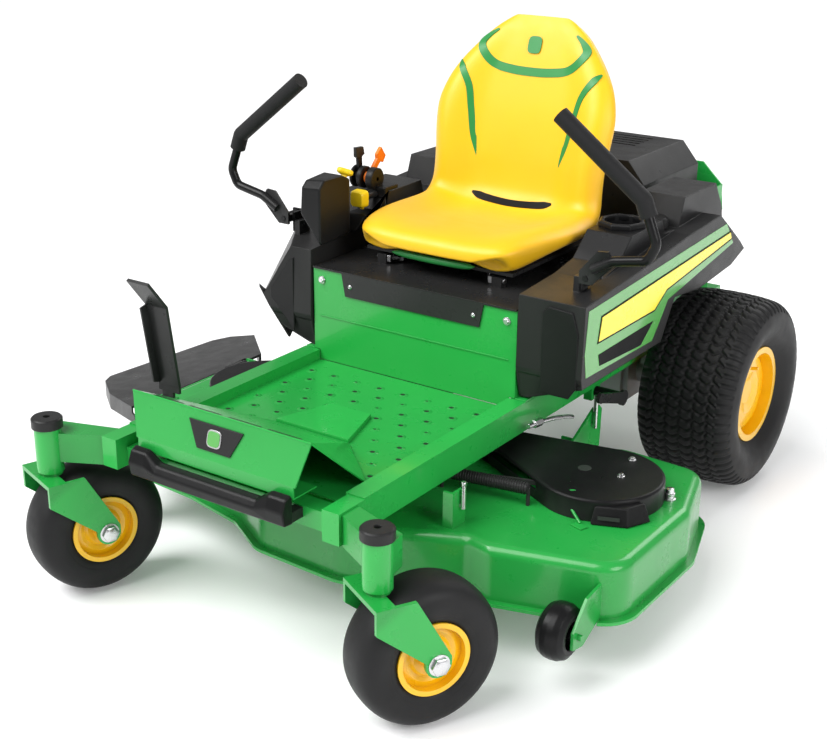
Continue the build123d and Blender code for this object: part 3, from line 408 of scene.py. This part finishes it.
def turf_tread(x, turn, radius):
    """Rows of zigzag bars split by wavy grooves round the tyre, fading out on the shoulder."""
    zone = abs(x)
    if zone > TREAD_HALF_WIDTH or radius < TREAD_INNER_RADIUS:
        return 0.0
    position = turn / (2 * math.pi) * TREAD_PITCHES
    wave = abs(((x / ZIGZAG) % 2.0) - 1.0)
    bar = (position + 0.45 * wave) % 1.0
    bar_gap = 1.0 - smooth_step(abs(bar - 0.5), 0.09, 0.16)
    groove = 0.0
    for line in GROOVES:
        sway = 2.6 * math.sin(2 * math.pi * position)
        groove = max(groove, 1.0 - smooth_step(abs(x - line - sway), 1.6, 3.6))
    shoulder = 1.0 - smooth_step(zone, TREAD_HALF_WIDTH - 4, TREAD_HALF_WIDTH)
    if zone > SHOULDER_X:
        lug = (position + 0.25) % 1.0
        bar_gap = 1.0 - smooth_step(abs(lug - 0.5), 0.14, 0.22)
    return TREAD_DEPTH * max(bar_gap * 0.85, groove) * shoulder


def rear_tyres():
    """Wide drive tyres with a turf tread."""
    outer = [(-88, 102.6), (-90, 112), (-97, 122), (-112, 146), (-119, 170), (-117, 192),
             (-111, 208), (-98, 219), (-80, 224), (-45, 227.5), (0, 228.6)]
    outer += [(-x, r) for x, r in outer[-2::-1]]
    inner = [(-82, 102.6), (-100, 140), (-106, 172), (-92, 206), (0, 216)]
    inner += [(-x, r) for x, r in inner[-2::-1]]
    for side in ("left", "right"):
        centre = Vector(JOINTS["rear_wheel_%s_spin" % side]["pos_m"])
        tyre_shell("rear_tyre_%s_tread" % side, centre, Vector((1, 0, 0)), outer, inner, 720, turf_tread,
                   "rear_tyre_" + side, "rear_wheel_" + side)


def rib_tread(x, turn, radius):
    """Nearly smooth caster tyre with two fine moulded rings on the sidewall."""
    ring = 0.0
    for line, depth in ((106.0, 0.7), (84.0, -0.8)):
        ring += depth * (1 - smooth_step(abs(radius - line), 0.5, 2.4))
    return ring if abs(x) > 36 else 0.0


def front_tyres():
    for side in ("left", "right"):
        joint = JOINTS["front_wheel_%s_spin" % side]
        outer = [(-43, 64.2), (-45, 70), (-50, 78), (-54, 92), (-54.5, 106), (-51, 119), (-43, 129.5),
                 (-31, 136), (-16, 139), (0, 139.7)]
        outer += [(-x, r) for x, r in outer[-2::-1]]
        inner = [(-37, 64.2), (-46, 92), (-44, 116), (-28, 128), (0, 131)]
        inner += [(-x, r) for x, r in inner[-2::-1]]
        tyre_shell("front_tyre_%s_casing" % side, Vector(joint["pos_m"]), Vector(joint["axis"]), outer,
                   inner, 128, rib_tread, "front_tyre_" + side, "front_wheel_" + side)


# ---- seat ----
SEAT_STATIONS = [
    # y, z, half width, side bolster height, thickness, extra depth of the sides
    (-606, 620, 110, 0, 8, 8), (-606, 634, 152, 0, 26, 12), (-600, 648, 176, 2, 40, 16),
    (-582, 659, 193, 5, 49, 20), (-545, 665, 208, 10, 56, 18), (-484, 663, 224, 17, 58, 8),
    (-420, 657, 232, 22, 54, 2), (-360, 651, 235, 26, 49, 0), (-310, 650, 234, 29, 50, 0),
    (-274, 658, 231, 32, 54, 0), (-252, 682, 226, 35, 54, 0), (-243, 715, 223, 38, 54, 0),
    (-236, 765, 224, 40, 54, 0), (-226, 820, 230, 40, 54, 0), (-214, 875, 231, 36, 54, 0),
    (-199, 930, 214, 27, 53, 0), (-186, 975, 186, 18, 50, 0), (-173, 1015, 152, 9, 46, 0),
    (-163, 1043, 124, 4, 42, 0), (-155, 1061, 100, 1, 34, 0), (-149, 1071, 82, 0, 22, 0),
    (-146, 1076, 66, 0, 8, 0),
]
SEAT_STEPS = 5
SEAT_POWER = 3.2


def seat_path():
    """Smooth stations of the seat with the direction the front face looks."""
    rows = catmull(SEAT_STATIONS, SEAT_STEPS)
    path = []
    for i, row in enumerate(rows):
        before, after = rows[max(0, i - 2)], rows[min(len(rows) - 1, i + 2)]
        dy, dz = after[0] - before[0], after[1] - before[1]
        length = math.hypot(dy, dz) or 1.0
        path.append((row, (-dz / length, dy / length)))
    return path


SEAT_PATH = seat_path()


def seat_section(index, share, front):
    """Point on the seat's surface: share runs from -1 to 1 across its width."""
    (y, z, half, bolster, thick, sag), (ny, nz) = SEAT_PATH[index]
    edge = (1 - abs(share) ** SEAT_POWER) ** (1 / SEAT_POWER)
    depth = thick / 2
    if front:
        rise = bolster * smooth_step(abs(share), 0.42, 0.86)
        offset = -depth * (1 - edge) + rise * (1 - 0.35 * smooth_step(abs(share), 0.86, 1.0))
    else:
        lift = bolster * 0.65 * smooth_step(abs(share), 0.5, 1.0)
        offset = -2 * depth + depth * (1 - edge) + lift - sag * smooth_step(abs(share), 0.35, 0.8)
    return at(half * share, y + ny * offset, z + nz * offset)


def seat_shares(count):
    """Positions across the seat, closer together towards its edges."""
    return [math.sin(math.pi / 2 * (2 * k / count - 1)) for k in range(count + 1)]


def seat_shell():
    """Bucket seat as one closed padded form."""
    shares = seat_shares(36)
    ring = [(s, True) for s in shares] + [(s, False) for s in shares[-2:0:-1]]
    vertices, faces = [], []
    for index in range(len(SEAT_PATH)):
        vertices += [seat_section(index, share, front) for share, front in ring]
    size = len(ring)
    for i in range(len(SEAT_PATH) - 1):
        for k in range(size):
            nxt = (k + 1) % size
            faces.append((i * size + k, i * size + nxt, (i + 1) * size + nxt, (i + 1) * size + k))
    last = (len(SEAT_PATH) - 1) * size
    half = size // 2
    for base in (0, last):
        for k in range(half):
            a, b = base + k, base + k + 1
            c, d = base + (size - k - 1) % size, base + (size - k) % size
            face = (a, b, c, d) if k else (a, b, c)
            faces.append(tuple(dict.fromkeys(face)))
    piece = add_piece("seat_cushion", vertices, faces, "seat_vinyl", "seat_slide_body")
    soften = piece.modifiers.new("soften", "SMOOTH")
    soften.factor = 0.5
    soften.iterations = 6
    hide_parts("seat")


def seat_strip(name, line, width, material, rise=1.6):
    """Flat inlay with tapered ends, following a line of (station, x share) on the seat's front."""
    path = catmull(line, 10)
    vertices = []
    for i, (station, share) in enumerate(path):
        centre, normal = seat_front(station, share)
        before, _ = seat_front(*path[max(0, i - 1)])
        after, _ = seat_front(*path[min(len(path) - 1, i + 1)])
        ahead = (after - before).normalized()
        side = ahead.cross(normal).normalized()
        grow = min(1.0, 0.25 + 5.0 * min(i, len(path) - 1 - i) / len(path))
        half = width * grow / 2000
        lift = normal * rise / 1000
        base = normal * -2.5 / 1000
        vertices += [centre - side * half + base, centre - side * half * 0.92 + lift,
                     centre + side * half * 0.92 + lift, centre + side * half + base]
    piece = add_piece(name, vertices, loop_faces(len(path), 4), material, "seat_slide_body",
                      "seat_vinyl")
    smooth_by_angle(piece.data, 40)


def seat_front(station, share):
    """Point and outward normal on the seat's front at a station number that may be fractional."""
    position = station * SEAT_STEPS
    low = int(min(len(SEAT_PATH) - 2, max(0, math.floor(position))))
    part = position - low

    def point(s):
        return seat_section(low, s, True).lerp(seat_section(low + 1, s, True), part)

    centre = point(share)
    across = (point(min(0.99, share + 0.02)) - point(max(-0.99, share - 0.02))).normalized()
    along = (seat_section(low + 1, share, True) - seat_section(low, share, True)).normalized()
    normal = along.cross(across).normalized()
    if normal.y > 0 and abs(normal.y) > abs(normal.z):
        normal = -normal
    if normal.z < 0 and abs(normal.z) > abs(normal.y):
        normal = -normal
    return centre, normal


def seat_trim():
    """Green inlaid lines, the head panel's outline and the seat's slot, a raised black strip of painted shade."""
    for side, sign in (("left", 1), ("right", -1)):
        line = [(15.75, 0.95 * sign), (15.3, 0.82 * sign), (14.6, 0.66 * sign), (13.8, 0.585 * sign),
                (12.8, 0.54 * sign), (11.7, 0.47 * sign)]
        seat_strip("seat_line_" + side, line, 17, GREEN_TRIM)
    head = [(17.9, -0.80), (17.35, -0.86), (16.8, -0.86), (16.2, -0.68), (15.75, -0.48), (15.58, -0.24),
            (15.54, 0.0), (15.58, 0.24), (15.75, 0.48), (16.2, 0.68), (16.8, 0.86), (17.35, 0.86),
            (17.9, 0.80)]
    seat_strip("seat_head_outline", head, 21, GREEN_TRIM)
    # The slot is painted shade: a black strip standing proud of the seat.
    slot = [(9.72, -0.47), (9.45, -0.30), (9.28, 0.0), (9.45, 0.30), (9.72, 0.47)]
    seat_strip("seat_slot_shade", slot, 19, BLACK_DECAL_AND_SHADE, rise=3.2)


def seat_underband():
    """Green band under the middle of the cushion's front edge."""
    vertices = []
    steps, sides = 24, 12
    half_length, half_depth, half_height = 104, 7, 8
    for i in range(steps + 1):
        share = 2 * i / steps - 1
        fat = math.sqrt(max(0.02, 1 - abs(share) ** 8))
        x, y = half_length * share, -586 + 7 * share * share
        for c, s in circle(sides):
            vertices.append(at(x, y + half_depth * c, 604 + half_height * fat * s))
    add_piece("seat_pan_band", vertices, loop_faces(steps + 1, sides), GREEN_TRIM, "seat_slide_body",
              "green_paint")


# ---- floor, nose and tower ----
FLOOR_TOP = 345.0


def ring_profile(radius):
    """Raised rim round a hole in the floor plate."""
    return [(-0.2, radius + 6), (1.4, radius + 3), (2.2, radius + 0.5), (1.6, radius - 1.0),
            (-0.2, radius - 1.2)]


def grip_hole(number, x, y, radius):
    """One extruded grip hole: a raised rim round a thin dark disc of painted shade where the hole is."""
    place = at(x, y, FLOOR_TOP)
    lathe("grip_ring_%03d" % number, place, (0, 0, 1), ring_profile(radius), "green_paint", "chassis",
          20, caps=False)
    # Thin near-black disc: painted shade standing in for the depth of the hole.
    lathe("grip_hole_%03d" % number, place, (0, 0, 1), [(0.2, radius), (0.5, radius - 0.8)], PAINTED_SHADE_AND_CAPS,
          "chassis", 16, "black_plastic")


def floor_detail():
    """Extruded grip holes in staggered rows on the foot plate, beside its raised middle."""
    number = 0
    for row, y in enumerate(range(-1100, -690, 46)):
        offset = 31 if row % 2 else 0
        for x in range(-217 + offset, 218, 62):
            ridge = 104 if y < -985 else 100 - 0.36 * (y + 985)
            if y < -865 and abs(x) < ridge:
                continue
            number += 1
            grip_hole(number, x, y, 6.5 if (row + number) % 3 else 4.5)


def tower_detail():
    """Bolts at the tower's corners, screws in the black lip and the folded crease."""
    for side, sign in (("left", 1), ("right", -1)):
        hex_bolt("tower_bolt_" + side, at(sign * 240, -661, 534), (0, -1, 0), 13, "chassis")
        dome_screw("lip_screw_" + side, at(sign * 160, -665, 532), (0, -1, 0), 5, "chassis")
    crease = [at(-246, -661, 449), at(246, -661, 449), at(246, -661, 452.5), at(-246, -661, 452.5)]
    panel("tower_crease", crease, 1.2, "green_paint", "chassis", bevel=0.5)


def nose_detail():
    """Slots near the nose's top edge, drawn as thin dark panels of painted shade, and the plain boss on its badge.
    """
    top, ramp = Vector((0, -1270, 474)), Vector((0, -1006, 349))
    along = (ramp - top).normalized()
    normal = Vector((0, -along.z, along.y))
    # Each slot is a thin near-black panel: painted shade, not an opening.
    for k, x in enumerate((-142, -48, 48, 142)):
        corners = []
        for dx, share in ((-38, 16), (38, 16), (38, 23), (-38, 23)):
            place = top + along * share + normal * 0.4
            corners.append(at(x + dx, place.y, place.z))
        panel("nose_slot_%d" % k, corners, 0.5, PAINTED_SHADE_AND_CAPS, "chassis", "black_plastic", 0)
    lean = Vector((0, -1, 0.25)).normalized()
    place = at(0, -1282, 430)
    up = Vector((1, 0, 0)).cross(lean)
    corners = rounded_square(place, Vector((1, 0, 0)), up, 17, 32)
    panel("badge_boss", corners, -3.0, "bright_steel", "chassis", bevel=0.8)
    inner = [place + (c - place) * 0.84 + lean * 3.0 / 1000 for c in corners]
    panel("badge_face", inner, -0.8, GREEN_DECAL, "chassis", "green_paint", 0.3)


# ---- fenders ----
SIDE_X = 420.0


def side_panel(name, outline, lift, material, slot, sign):
    """Thin sheet on a fender's side, lifted by a few tenths of a millimetre."""
    corners = [at(sign * (SIDE_X + lift), y, z) for y, z in outline]
    if sign < 0:
        corners = corners[::-1]
    panel(name, corners, 0.6, material, "chassis", slot, 0)


def fender_decals():
    """Green side panels with a tapering yellow stripe and a dark lower flash; the right fender's
    front is cut back, so its outlines start further back."""
    green = [(-650, 587), (-659, 496), (-650, 446), (-352, 440), (-320, 474), (-284, 516), (59, 566),
             (12, 622)]
    yellow = [(-593, 560), (-604, 511), (-352, 511), (-296, 543), (44, 581), (36, 596)]
    dark = [(-601, 482), (-594, 456), (-407, 446), (-352, 486)]
    edge = [(-597, 563.5), (-609, 507), (-349, 507), (-294, 539), (48, 577), (39, 600)]
    cut_green = [(-530, 586), (-565, 550), (-604, 500), (-604, 452)] + green[3:]
    cut_yellow = [(-550, 553), (-578, 511)] + yellow[2:]
    cut_edge = [(-554, 556.5), (-586, 507)] + edge[2:]
    sides = (("left", 1, green, yellow, edge), ("right", -1, cut_green, cut_yellow, cut_edge))
    for side, sign, green, yellow, edge in sides:
        side_panel("side_green_" + side, green, 0.1, GREEN_DECAL, "green_paint", sign)
        side_panel("side_edge_" + side, edge, 0.8, BLACK_DECAL_AND_SHADE, "black_plastic", sign)
        side_panel("side_yellow_" + side, yellow, 1.5, YELLOW_DECAL, "yellow_paint", sign)
        side_panel("side_flash_" + side, dark, 0.8, BLACK_DECAL_AND_SHADE, "black_plastic", sign)


def fender_faces():
    """Moulded panels on the fenders' front faces."""
    left = [(326, 400), (392, 400), (408, 424), (408, 540), (394, 582), (340, 586), (326, 572)]
    right = [(-318, 400), (-340, 424), (-386, 470), (-386, 492), (-330, 566), (-318, 572)]
    for side, outline in (("left", left), ("right", right)):
        corners = [at(x, -664.5, z) for x, z in outline]
        panel("fender_front_" + side, corners, 3.5, "black_plastic", "chassis")


def front_step():
    """Moulded step bar, scooped in the middle, with its two rear feet."""
    end = [(-1292, 318), (-1292, 368), (-1297, 377), (-1312, 371), (-1322, 348), (-1316, 320)]
    scoop = [(-1292, 318), (-1292, 352), (-1298, 358), (-1313, 354), (-1322, 340), (-1316, 320)]
    rows = ((-190, end), (-150, end), (-122, scoop), (122, scoop), (150, end), (190, end))
    vertices = [at(x, y, z) for x, outline in rows for y, z in outline]
    bar = add_piece("step_bar", vertices, loop_faces(len(rows), len(end)), "black_plastic", "chassis",
                    smooth=False)
    bevelled(bar, 3.5, 3, 20)
    foot = [(-1293, 320), (-1262, 320), (-1262, 340), (-1293, 340)]
    for side, sign in (("left", 1), ("right", -1)):
        near, far = ([at(sign * x, y, z) for y, z in foot] for x in (168, 188))
        extruded("step_foot_" + side, near, far, "black_plastic", "chassis")
    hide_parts("front_step")


CASTER_HALF_WIDTH = 0.067


def caster_bolts():
    """Bright axle bolt heads on the caster forks."""
    washer = [(-0.5, 20.5), (1.6, 20.5), (2, 19.5), (2, 1)]
    head = [(1, 18), (9.5, 18), (11, 15.5), (12.8, 9), (12.8, 0.5)]
    for side in ("left", "right"):
        joint = JOINTS["front_wheel_%s_spin" % side]
        for end, sign in (("outer", 1), ("inner", -1)):
            outward = Vector(joint["axis"]) * sign
            place = Vector(joint["pos_m"]) + outward * CASTER_HALF_WIDTH
            label = "%s_%s" % (side, end)
            lathe("caster_washer_" + label, place, outward, washer, "bright_steel", "caster_" + side, 32)
            lathe("caster_bolt_" + label, place, outward, head, "bright_steel", "caster_" + side, 6)


def rear_valves():
    """Tyre valves standing in the rear rims."""
    stem = [(0, 5.5), (16, 5.5), (18, 4), (26, 4), (26, 0.5)]
    for side, sign in (("left", 1), ("right", -1)):
        hub = Vector(JOINTS["rear_wheel_%s_spin" % side]["pos_m"])
        place = hub + Vector((sign * 0.030, -0.012, 0.062))
        lathe("rear_valve_" + side, place, (sign, -0.1, 0.25), stem, "black_plastic",
              "rear_wheel_" + side, 16)


def seat_badge():
    """Plain rounded patch on the head panel."""
    centre, normal = seat_front(16.95, 0)
    across = Vector((1, 0, 0))
    up = normal.cross(across).normalized()
    if up.z < 0:
        up = -up
    corners = rounded_square(centre + normal * 0.0012, across, up, 17, 24, stretch=1.15)
    panel("seat_badge", corners, 2, GREEN_TRIM, "seat_slide_body", "seat_vinyl", 0)


# ---- deck ----
COVER_TOP = 272.0


def deck_detail():
    """Bolts and spindle caps on the belt covers, and the wash port."""
    for k, (x, y) in enumerate(((509, -597), (527, -682))):
        hex_bolt("cover_bolt_%d" % k, at(x, y, COVER_TOP), (0, 0, 1), 12, "deck")
        hex_bolt("cover_bolt_%d" % (k + 2), at(96 - x, y, COVER_TOP), (0, 0, 1), 12, "deck")
    port = [(-1, 13), (3, 13), (4, 10), (10, 9), (11, 11), (15, 11), (16, 9), (24, 8), (25, 4)]
    lathe("wash_port", at(612, -632, 226), (0, 0, 1), port, "bright_steel", "deck", 32)
    cap = [(-1, 14), (1, 14), (1.5, 12), (1.5, 3)]
    for k, (x, y) in enumerate(((450, -690), (48, -820), (-354, -690))):
        lathe("spindle_nut_%d" % k, at(x, y, COVER_TOP), (0, 0, 1), cap, PAINTED_SHADE_AND_CAPS, "deck", 32,
              "black_plastic")


def coil(name, start, end, radius, wire, turns, finish, body):
    """Helical spring between two row-frame points."""
    across, up = frame_of(end - start)
    points = []
    steps = turns * 12
    for i in range(steps + 1):
        turn = 2 * math.pi * i / 12
        place = start.lerp(end, i / steps)
        points.append(place + (across * math.cos(turn) + up * math.sin(turn)) * radius / 1000)
    tube(name, points, wire, finish, body, count=8, steps=1)


def deck_linkage():
    """Idler spring coils, lift rod and the deck's hanging hook."""
    coil("idler_spring", at(214, -849.6, 262), at(394, -820.4, 262), 11.6, 1.7, 34, "black_paint", "deck")
    rod = [at(322, y, z) for y, z in ((-512, 292), (-540, 302), (-600, 318), (-664, 330), (-700, 334))]
    tube("lift_rod", rod, 5, "bright_steel", "deck")
    lathe("lift_rod_nut", rod[3], rod[4] - rod[3], [(-14, 8.5), (14, 8.5)], "bright_steel", "deck", 6)
    hook = [at(494, -782, 266), at(478, -794, 270), at(468, -800, 263), at(476, -806, 252),
            at(500, -822, 240), at(522, -836, 230)]
    tube("deck_hook", hook, 3, "green_paint", "deck")
    foot = [at(508, -848, 226.5), at(534, -856, 226.5), at(540, -838, 226.5), at(514, -830, 226.5)]
    panel("deck_hook_foot", foot, 3, "green_paint", "deck")


def cover_box():
    """Moulded box on the front of the left belt cover, with its slot a thin dark panel of painted shade."""
    low = [at(x, y, 227) for x, y in ((536, -826), (604, -798), (628, -746), (566, -742))]
    high = [at(x, y, 262) for x, y in ((538, -812), (596, -788), (614, -746), (566, -738))]
    bevelled(extruded("cover_box", low, high, "black_plastic", "deck"), 3, 3)
    # The slot is painted shade: a thin near-black panel on the box's face.
    slot = [at(551, -821.5, 240), at(590, -805.5, 240), at(589, -803.5, 247), at(550, -819.5, 247)]
    panel("cover_box_slot_shade", slot, 1.2, PAINTED_SHADE_AND_CAPS, "deck", "black_plastic", 0)


# ---- controls ----
def cup_rim():
    """Eight-sided rim round the cup holder."""
    profile = [(-4, 55), (5, 54), (9, 50), (9, 43), (4, 41.5), (-4, 41.5)]
    rim = lathe("cup_rim", at(314, -312, 676), (0, 0, 1), profile, "black_plastic", "chassis", 8,
                closed=True)
    for polygon in rim.data.polygons:
        polygon.use_smooth = False
    bevelled(rim, 1.5, 3)


def console():
    """Faceted control tower with its notched lever drum, standing in for the plain console."""
    mesh = bpy.data.meshes.new("console_block")
    form = bmesh.new()
    corners = [
        (-254, -648, 604), (-254, -648, 734), (-306, -648, 730), (-310, -648, 672), (-268, -648, 622),
        (-254, -632, 750), (-304, -634, 746), (-254, -566, 750), (-308, -566, 750),
        (-254, -540, 738), (-254, -540, 612), (-302, -482, 706), (-310, -482, 706),
        (-300, -482, 622), (-310, -482, 664),
    ]
    for corner in corners:
        form.verts.new(at(*corner))
    bmesh.ops.convex_hull(form, input=form.verts)
    bmesh.ops.dissolve_limit(form, angle_limit=math.radians(2), verts=form.verts, edges=form.edges)
    form.to_mesh(mesh)
    form.free()
    block = add_mesh("console_block", mesh, "black_plastic", "chassis")
    bevelled(block, 4, 3)
    outline = [(-520, 611), (-480, 640), (-404, 640), (-404, 690), (-352, 690), (-352, 679.4), (-388, 679.4),
               (-446, 626)]
    outer, inner = ([at(x, y, z) for y, z in outline] for x in (-310, -254))
    bevelled(extruded("console_rear", outer, inner, "black_plastic", "chassis"), 2.5, 3)
    axle = at(-345, -398, 706)
    for k, (start, end) in enumerate(((0, 7), (20, 32), (46, 65))):
        disc = [(start, 7), (start, 24), (start + 1.5, 26), (end - 1.5, 26), (end, 24), (end, 7)]
        lathe("lever_drum_%d" % k, axle, (1, 0, 0), disc, "black_plastic", "chassis", 40)
    lathe("lever_drum_axle", axle, (1, 0, 0), [(0, 4.5), (65, 4.5)], "bright_steel", "chassis", 20)
    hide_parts("control_console")


def lobed_knob():
    """Three-lobed knob of the blade clutch."""
    knob_low, knob_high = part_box("blade_clutch_knob")
    axis = Vector(JOINTS["clutch_knob_pull"]["axis"])
    middle = (knob_low + knob_high) / 2
    across, up = frame_of(axis)
    vertices = []
    count = 60
    stem_radius = 8
    rows = [(-9, 7), (-5, 7), (-3, 14), (0, 17.5), (7, 17.5), (9.5, 15), (10, 0.5)]
    for along, radius in rows:
        for k in range(count):
            turn = 2 * math.pi * k / count
            lobe = 1 + 0.16 * math.cos(3 * turn) if radius > stem_radius else 1
            ring = across * math.cos(turn) + up * math.sin(turn)
            vertices.append(middle + (axis * along + ring * radius * lobe) / 1000)
    piece = add_piece("clutch_knob_lobes", vertices, loop_faces(len(rows), count), "yellow_plastic",
                      "clutch_knob")
    smooth_by_angle(piece.data, 50)
    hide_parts("blade_clutch_knob")


def square_knob():
    """Rounded square knob and pointer of the cutting-height dial."""
    centre = Vector(JOINTS["height_dial_turn"]["pos_m"])
    across, up = Vector((1, 0, 0)), Vector((0, 0, 1))
    count = 48
    vertices = []
    rows = [(-8, 17), (-9, 20), (-26, 19), (-31, 16), (-32, 0.5)]
    for along, half in rows:
        place = centre + Vector((0, along, 0)) / 1000
        vertices += rounded_square(place, across, up, half, count, 5)
    piece = add_piece("height_knob", vertices, loop_faces(len(rows), count), "yellow_plastic", "dial")
    smooth_by_angle(piece.data, 40)
    tip = [centre + Vector((x, -12, z)) / 1000 for x, z in ((-4, -19), (4, -19), (3, -27), (-3, -27))]
    panel("height_pointer", tip, 8, "yellow_plastic", "dial")
    lathe("height_shaft", centre, (0, 1, 0), [(-8, 8), (48, 8)], "black_plastic", "dial", 24)
    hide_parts("height_dial")


# ---- stage ----
def add_light(name, kind, place, target, energy, size=None):
    """White light aimed at a point; size is an area light's diameter in metres."""
    data = bpy.data.lights.new(name, kind)
    data.energy = energy
    if size:
        data.shape = "DISK"
        data.size = size
    light = bpy.data.objects.new(name, data)
    COLLECTION.objects.link(light)
    light.location = place
    light.rotation_euler = (target - place).to_track_quat("-Z", "Y").to_euler()
    return light


def studio():
    """Pale floor, soft lights and the world."""
    middle = at(0, -500, 400)
    floor_material = finish_material("studio_floor", (0.90, 0.90, 0.905), 0.75, 0.03, mottle=0.004, edge=0.0,
                                     grain=60, grain_depth=0.00001)
    glow = floor_material.node_tree.nodes["Principled BSDF"]
    glow.inputs["Emission Color"].default_value = (1, 1, 1, 1)
    glow.inputs["Emission Strength"].default_value = 0.13
    half = 40
    mesh = bpy.data.meshes.new("studio_floor")
    mesh.from_pydata([(-half, -half, 0), (half, -half, 0), (half, half, 0), (-half, half, 0)], [],
                     [(0, 1, 2, 3)])
    mesh.materials.append(floor_material)
    floor = bpy.data.objects.new("studio_floor", mesh)
    floor.location.z = -0.0005
    COLLECTION.objects.link(floor)
    sun = add_light("sun", "SUN", at(-1500, -3200, 4600), middle, 2.7)
    sun.data.angle = math.radians(48)
    add_light("key", "AREA", at(-2300, -3000, 3300), middle, 75, 2.2)
    add_light("fill", "AREA", at(3900, -1500, 2300), middle, 85, 2.4)
    add_light("rim", "AREA", at(600, 3600, 3300), middle, 60, 2.6)
    world = bpy.data.worlds.new("studio")
    world.use_nodes = True
    tree = world.node_tree
    backdrop = tree.nodes.new("ShaderNodeBackground")
    backdrop.inputs["Color"].default_value = (1, 1, 1, 1)
    backdrop.inputs["Strength"].default_value = 1.0
    room = tree.nodes["Background"]
    room.inputs["Color"].default_value = (1, 1, 1, 1)
    room.inputs["Strength"].default_value = 0.34
    seen = tree.nodes.new("ShaderNodeLightPath")
    choose = tree.nodes.new("ShaderNodeMixShader")
    tree.links.new(seen.outputs["Is Camera Ray"], choose.inputs["Fac"])
    tree.links.new(room.outputs["Background"], choose.inputs[1])
    tree.links.new(backdrop.outputs["Background"], choose.inputs[2])
    tree.links.new(choose.outputs["Shader"], tree.nodes["World Output"].inputs["Surface"])
    bpy.context.scene.world = world
    bpy.context.scene.view_settings.view_transform = "Standard"


CAMERA_ANGLES = (34.788, 20.894, 0.453)
CAMERA_PLACE = (1659.3, -3037.1, 1480.9)
CAMERA_LENS = 62.24


def camera():
    """Camera looking from the machine's front left, a little above it."""
    azimuth, elevation, roll = (math.radians(angle) for angle in CAMERA_ANGLES)
    data = bpy.data.cameras.new("camera")
    data.lens = CAMERA_LENS
    data.sensor_width = 36
    data.clip_end = 200
    cam = bpy.data.objects.new("camera", data)
    COLLECTION.objects.link(cam)
    back = Vector((math.sin(azimuth) * math.cos(elevation), -math.cos(azimuth) * math.cos(elevation),
                   math.sin(elevation)))
    right = Vector((math.cos(azimuth), math.sin(azimuth), 0))
    up = back.cross(right)
    right, up = (right * math.cos(roll) + up * math.sin(roll),
                 up * math.cos(roll) - right * math.sin(roll))
    turn = Matrix((right, up, back)).transposed().to_4x4()
    cam.matrix_world = Matrix.Translation(at(*CAMERA_PLACE)) @ turn
    bpy.context.scene.camera = cam


paint_cad_nodes()
rear_tyres()
front_tyres()
seat_shell()
seat_trim()
seat_underband()
floor_detail()
tower_detail()
nose_detail()
fender_decals()
deck_detail()
fender_faces()
front_step()
caster_bolts()
rear_valves()
seat_badge()
deck_linkage()
cover_box()
cup_rim()
console()
lobed_knob()
square_knob()
studio()
camera()
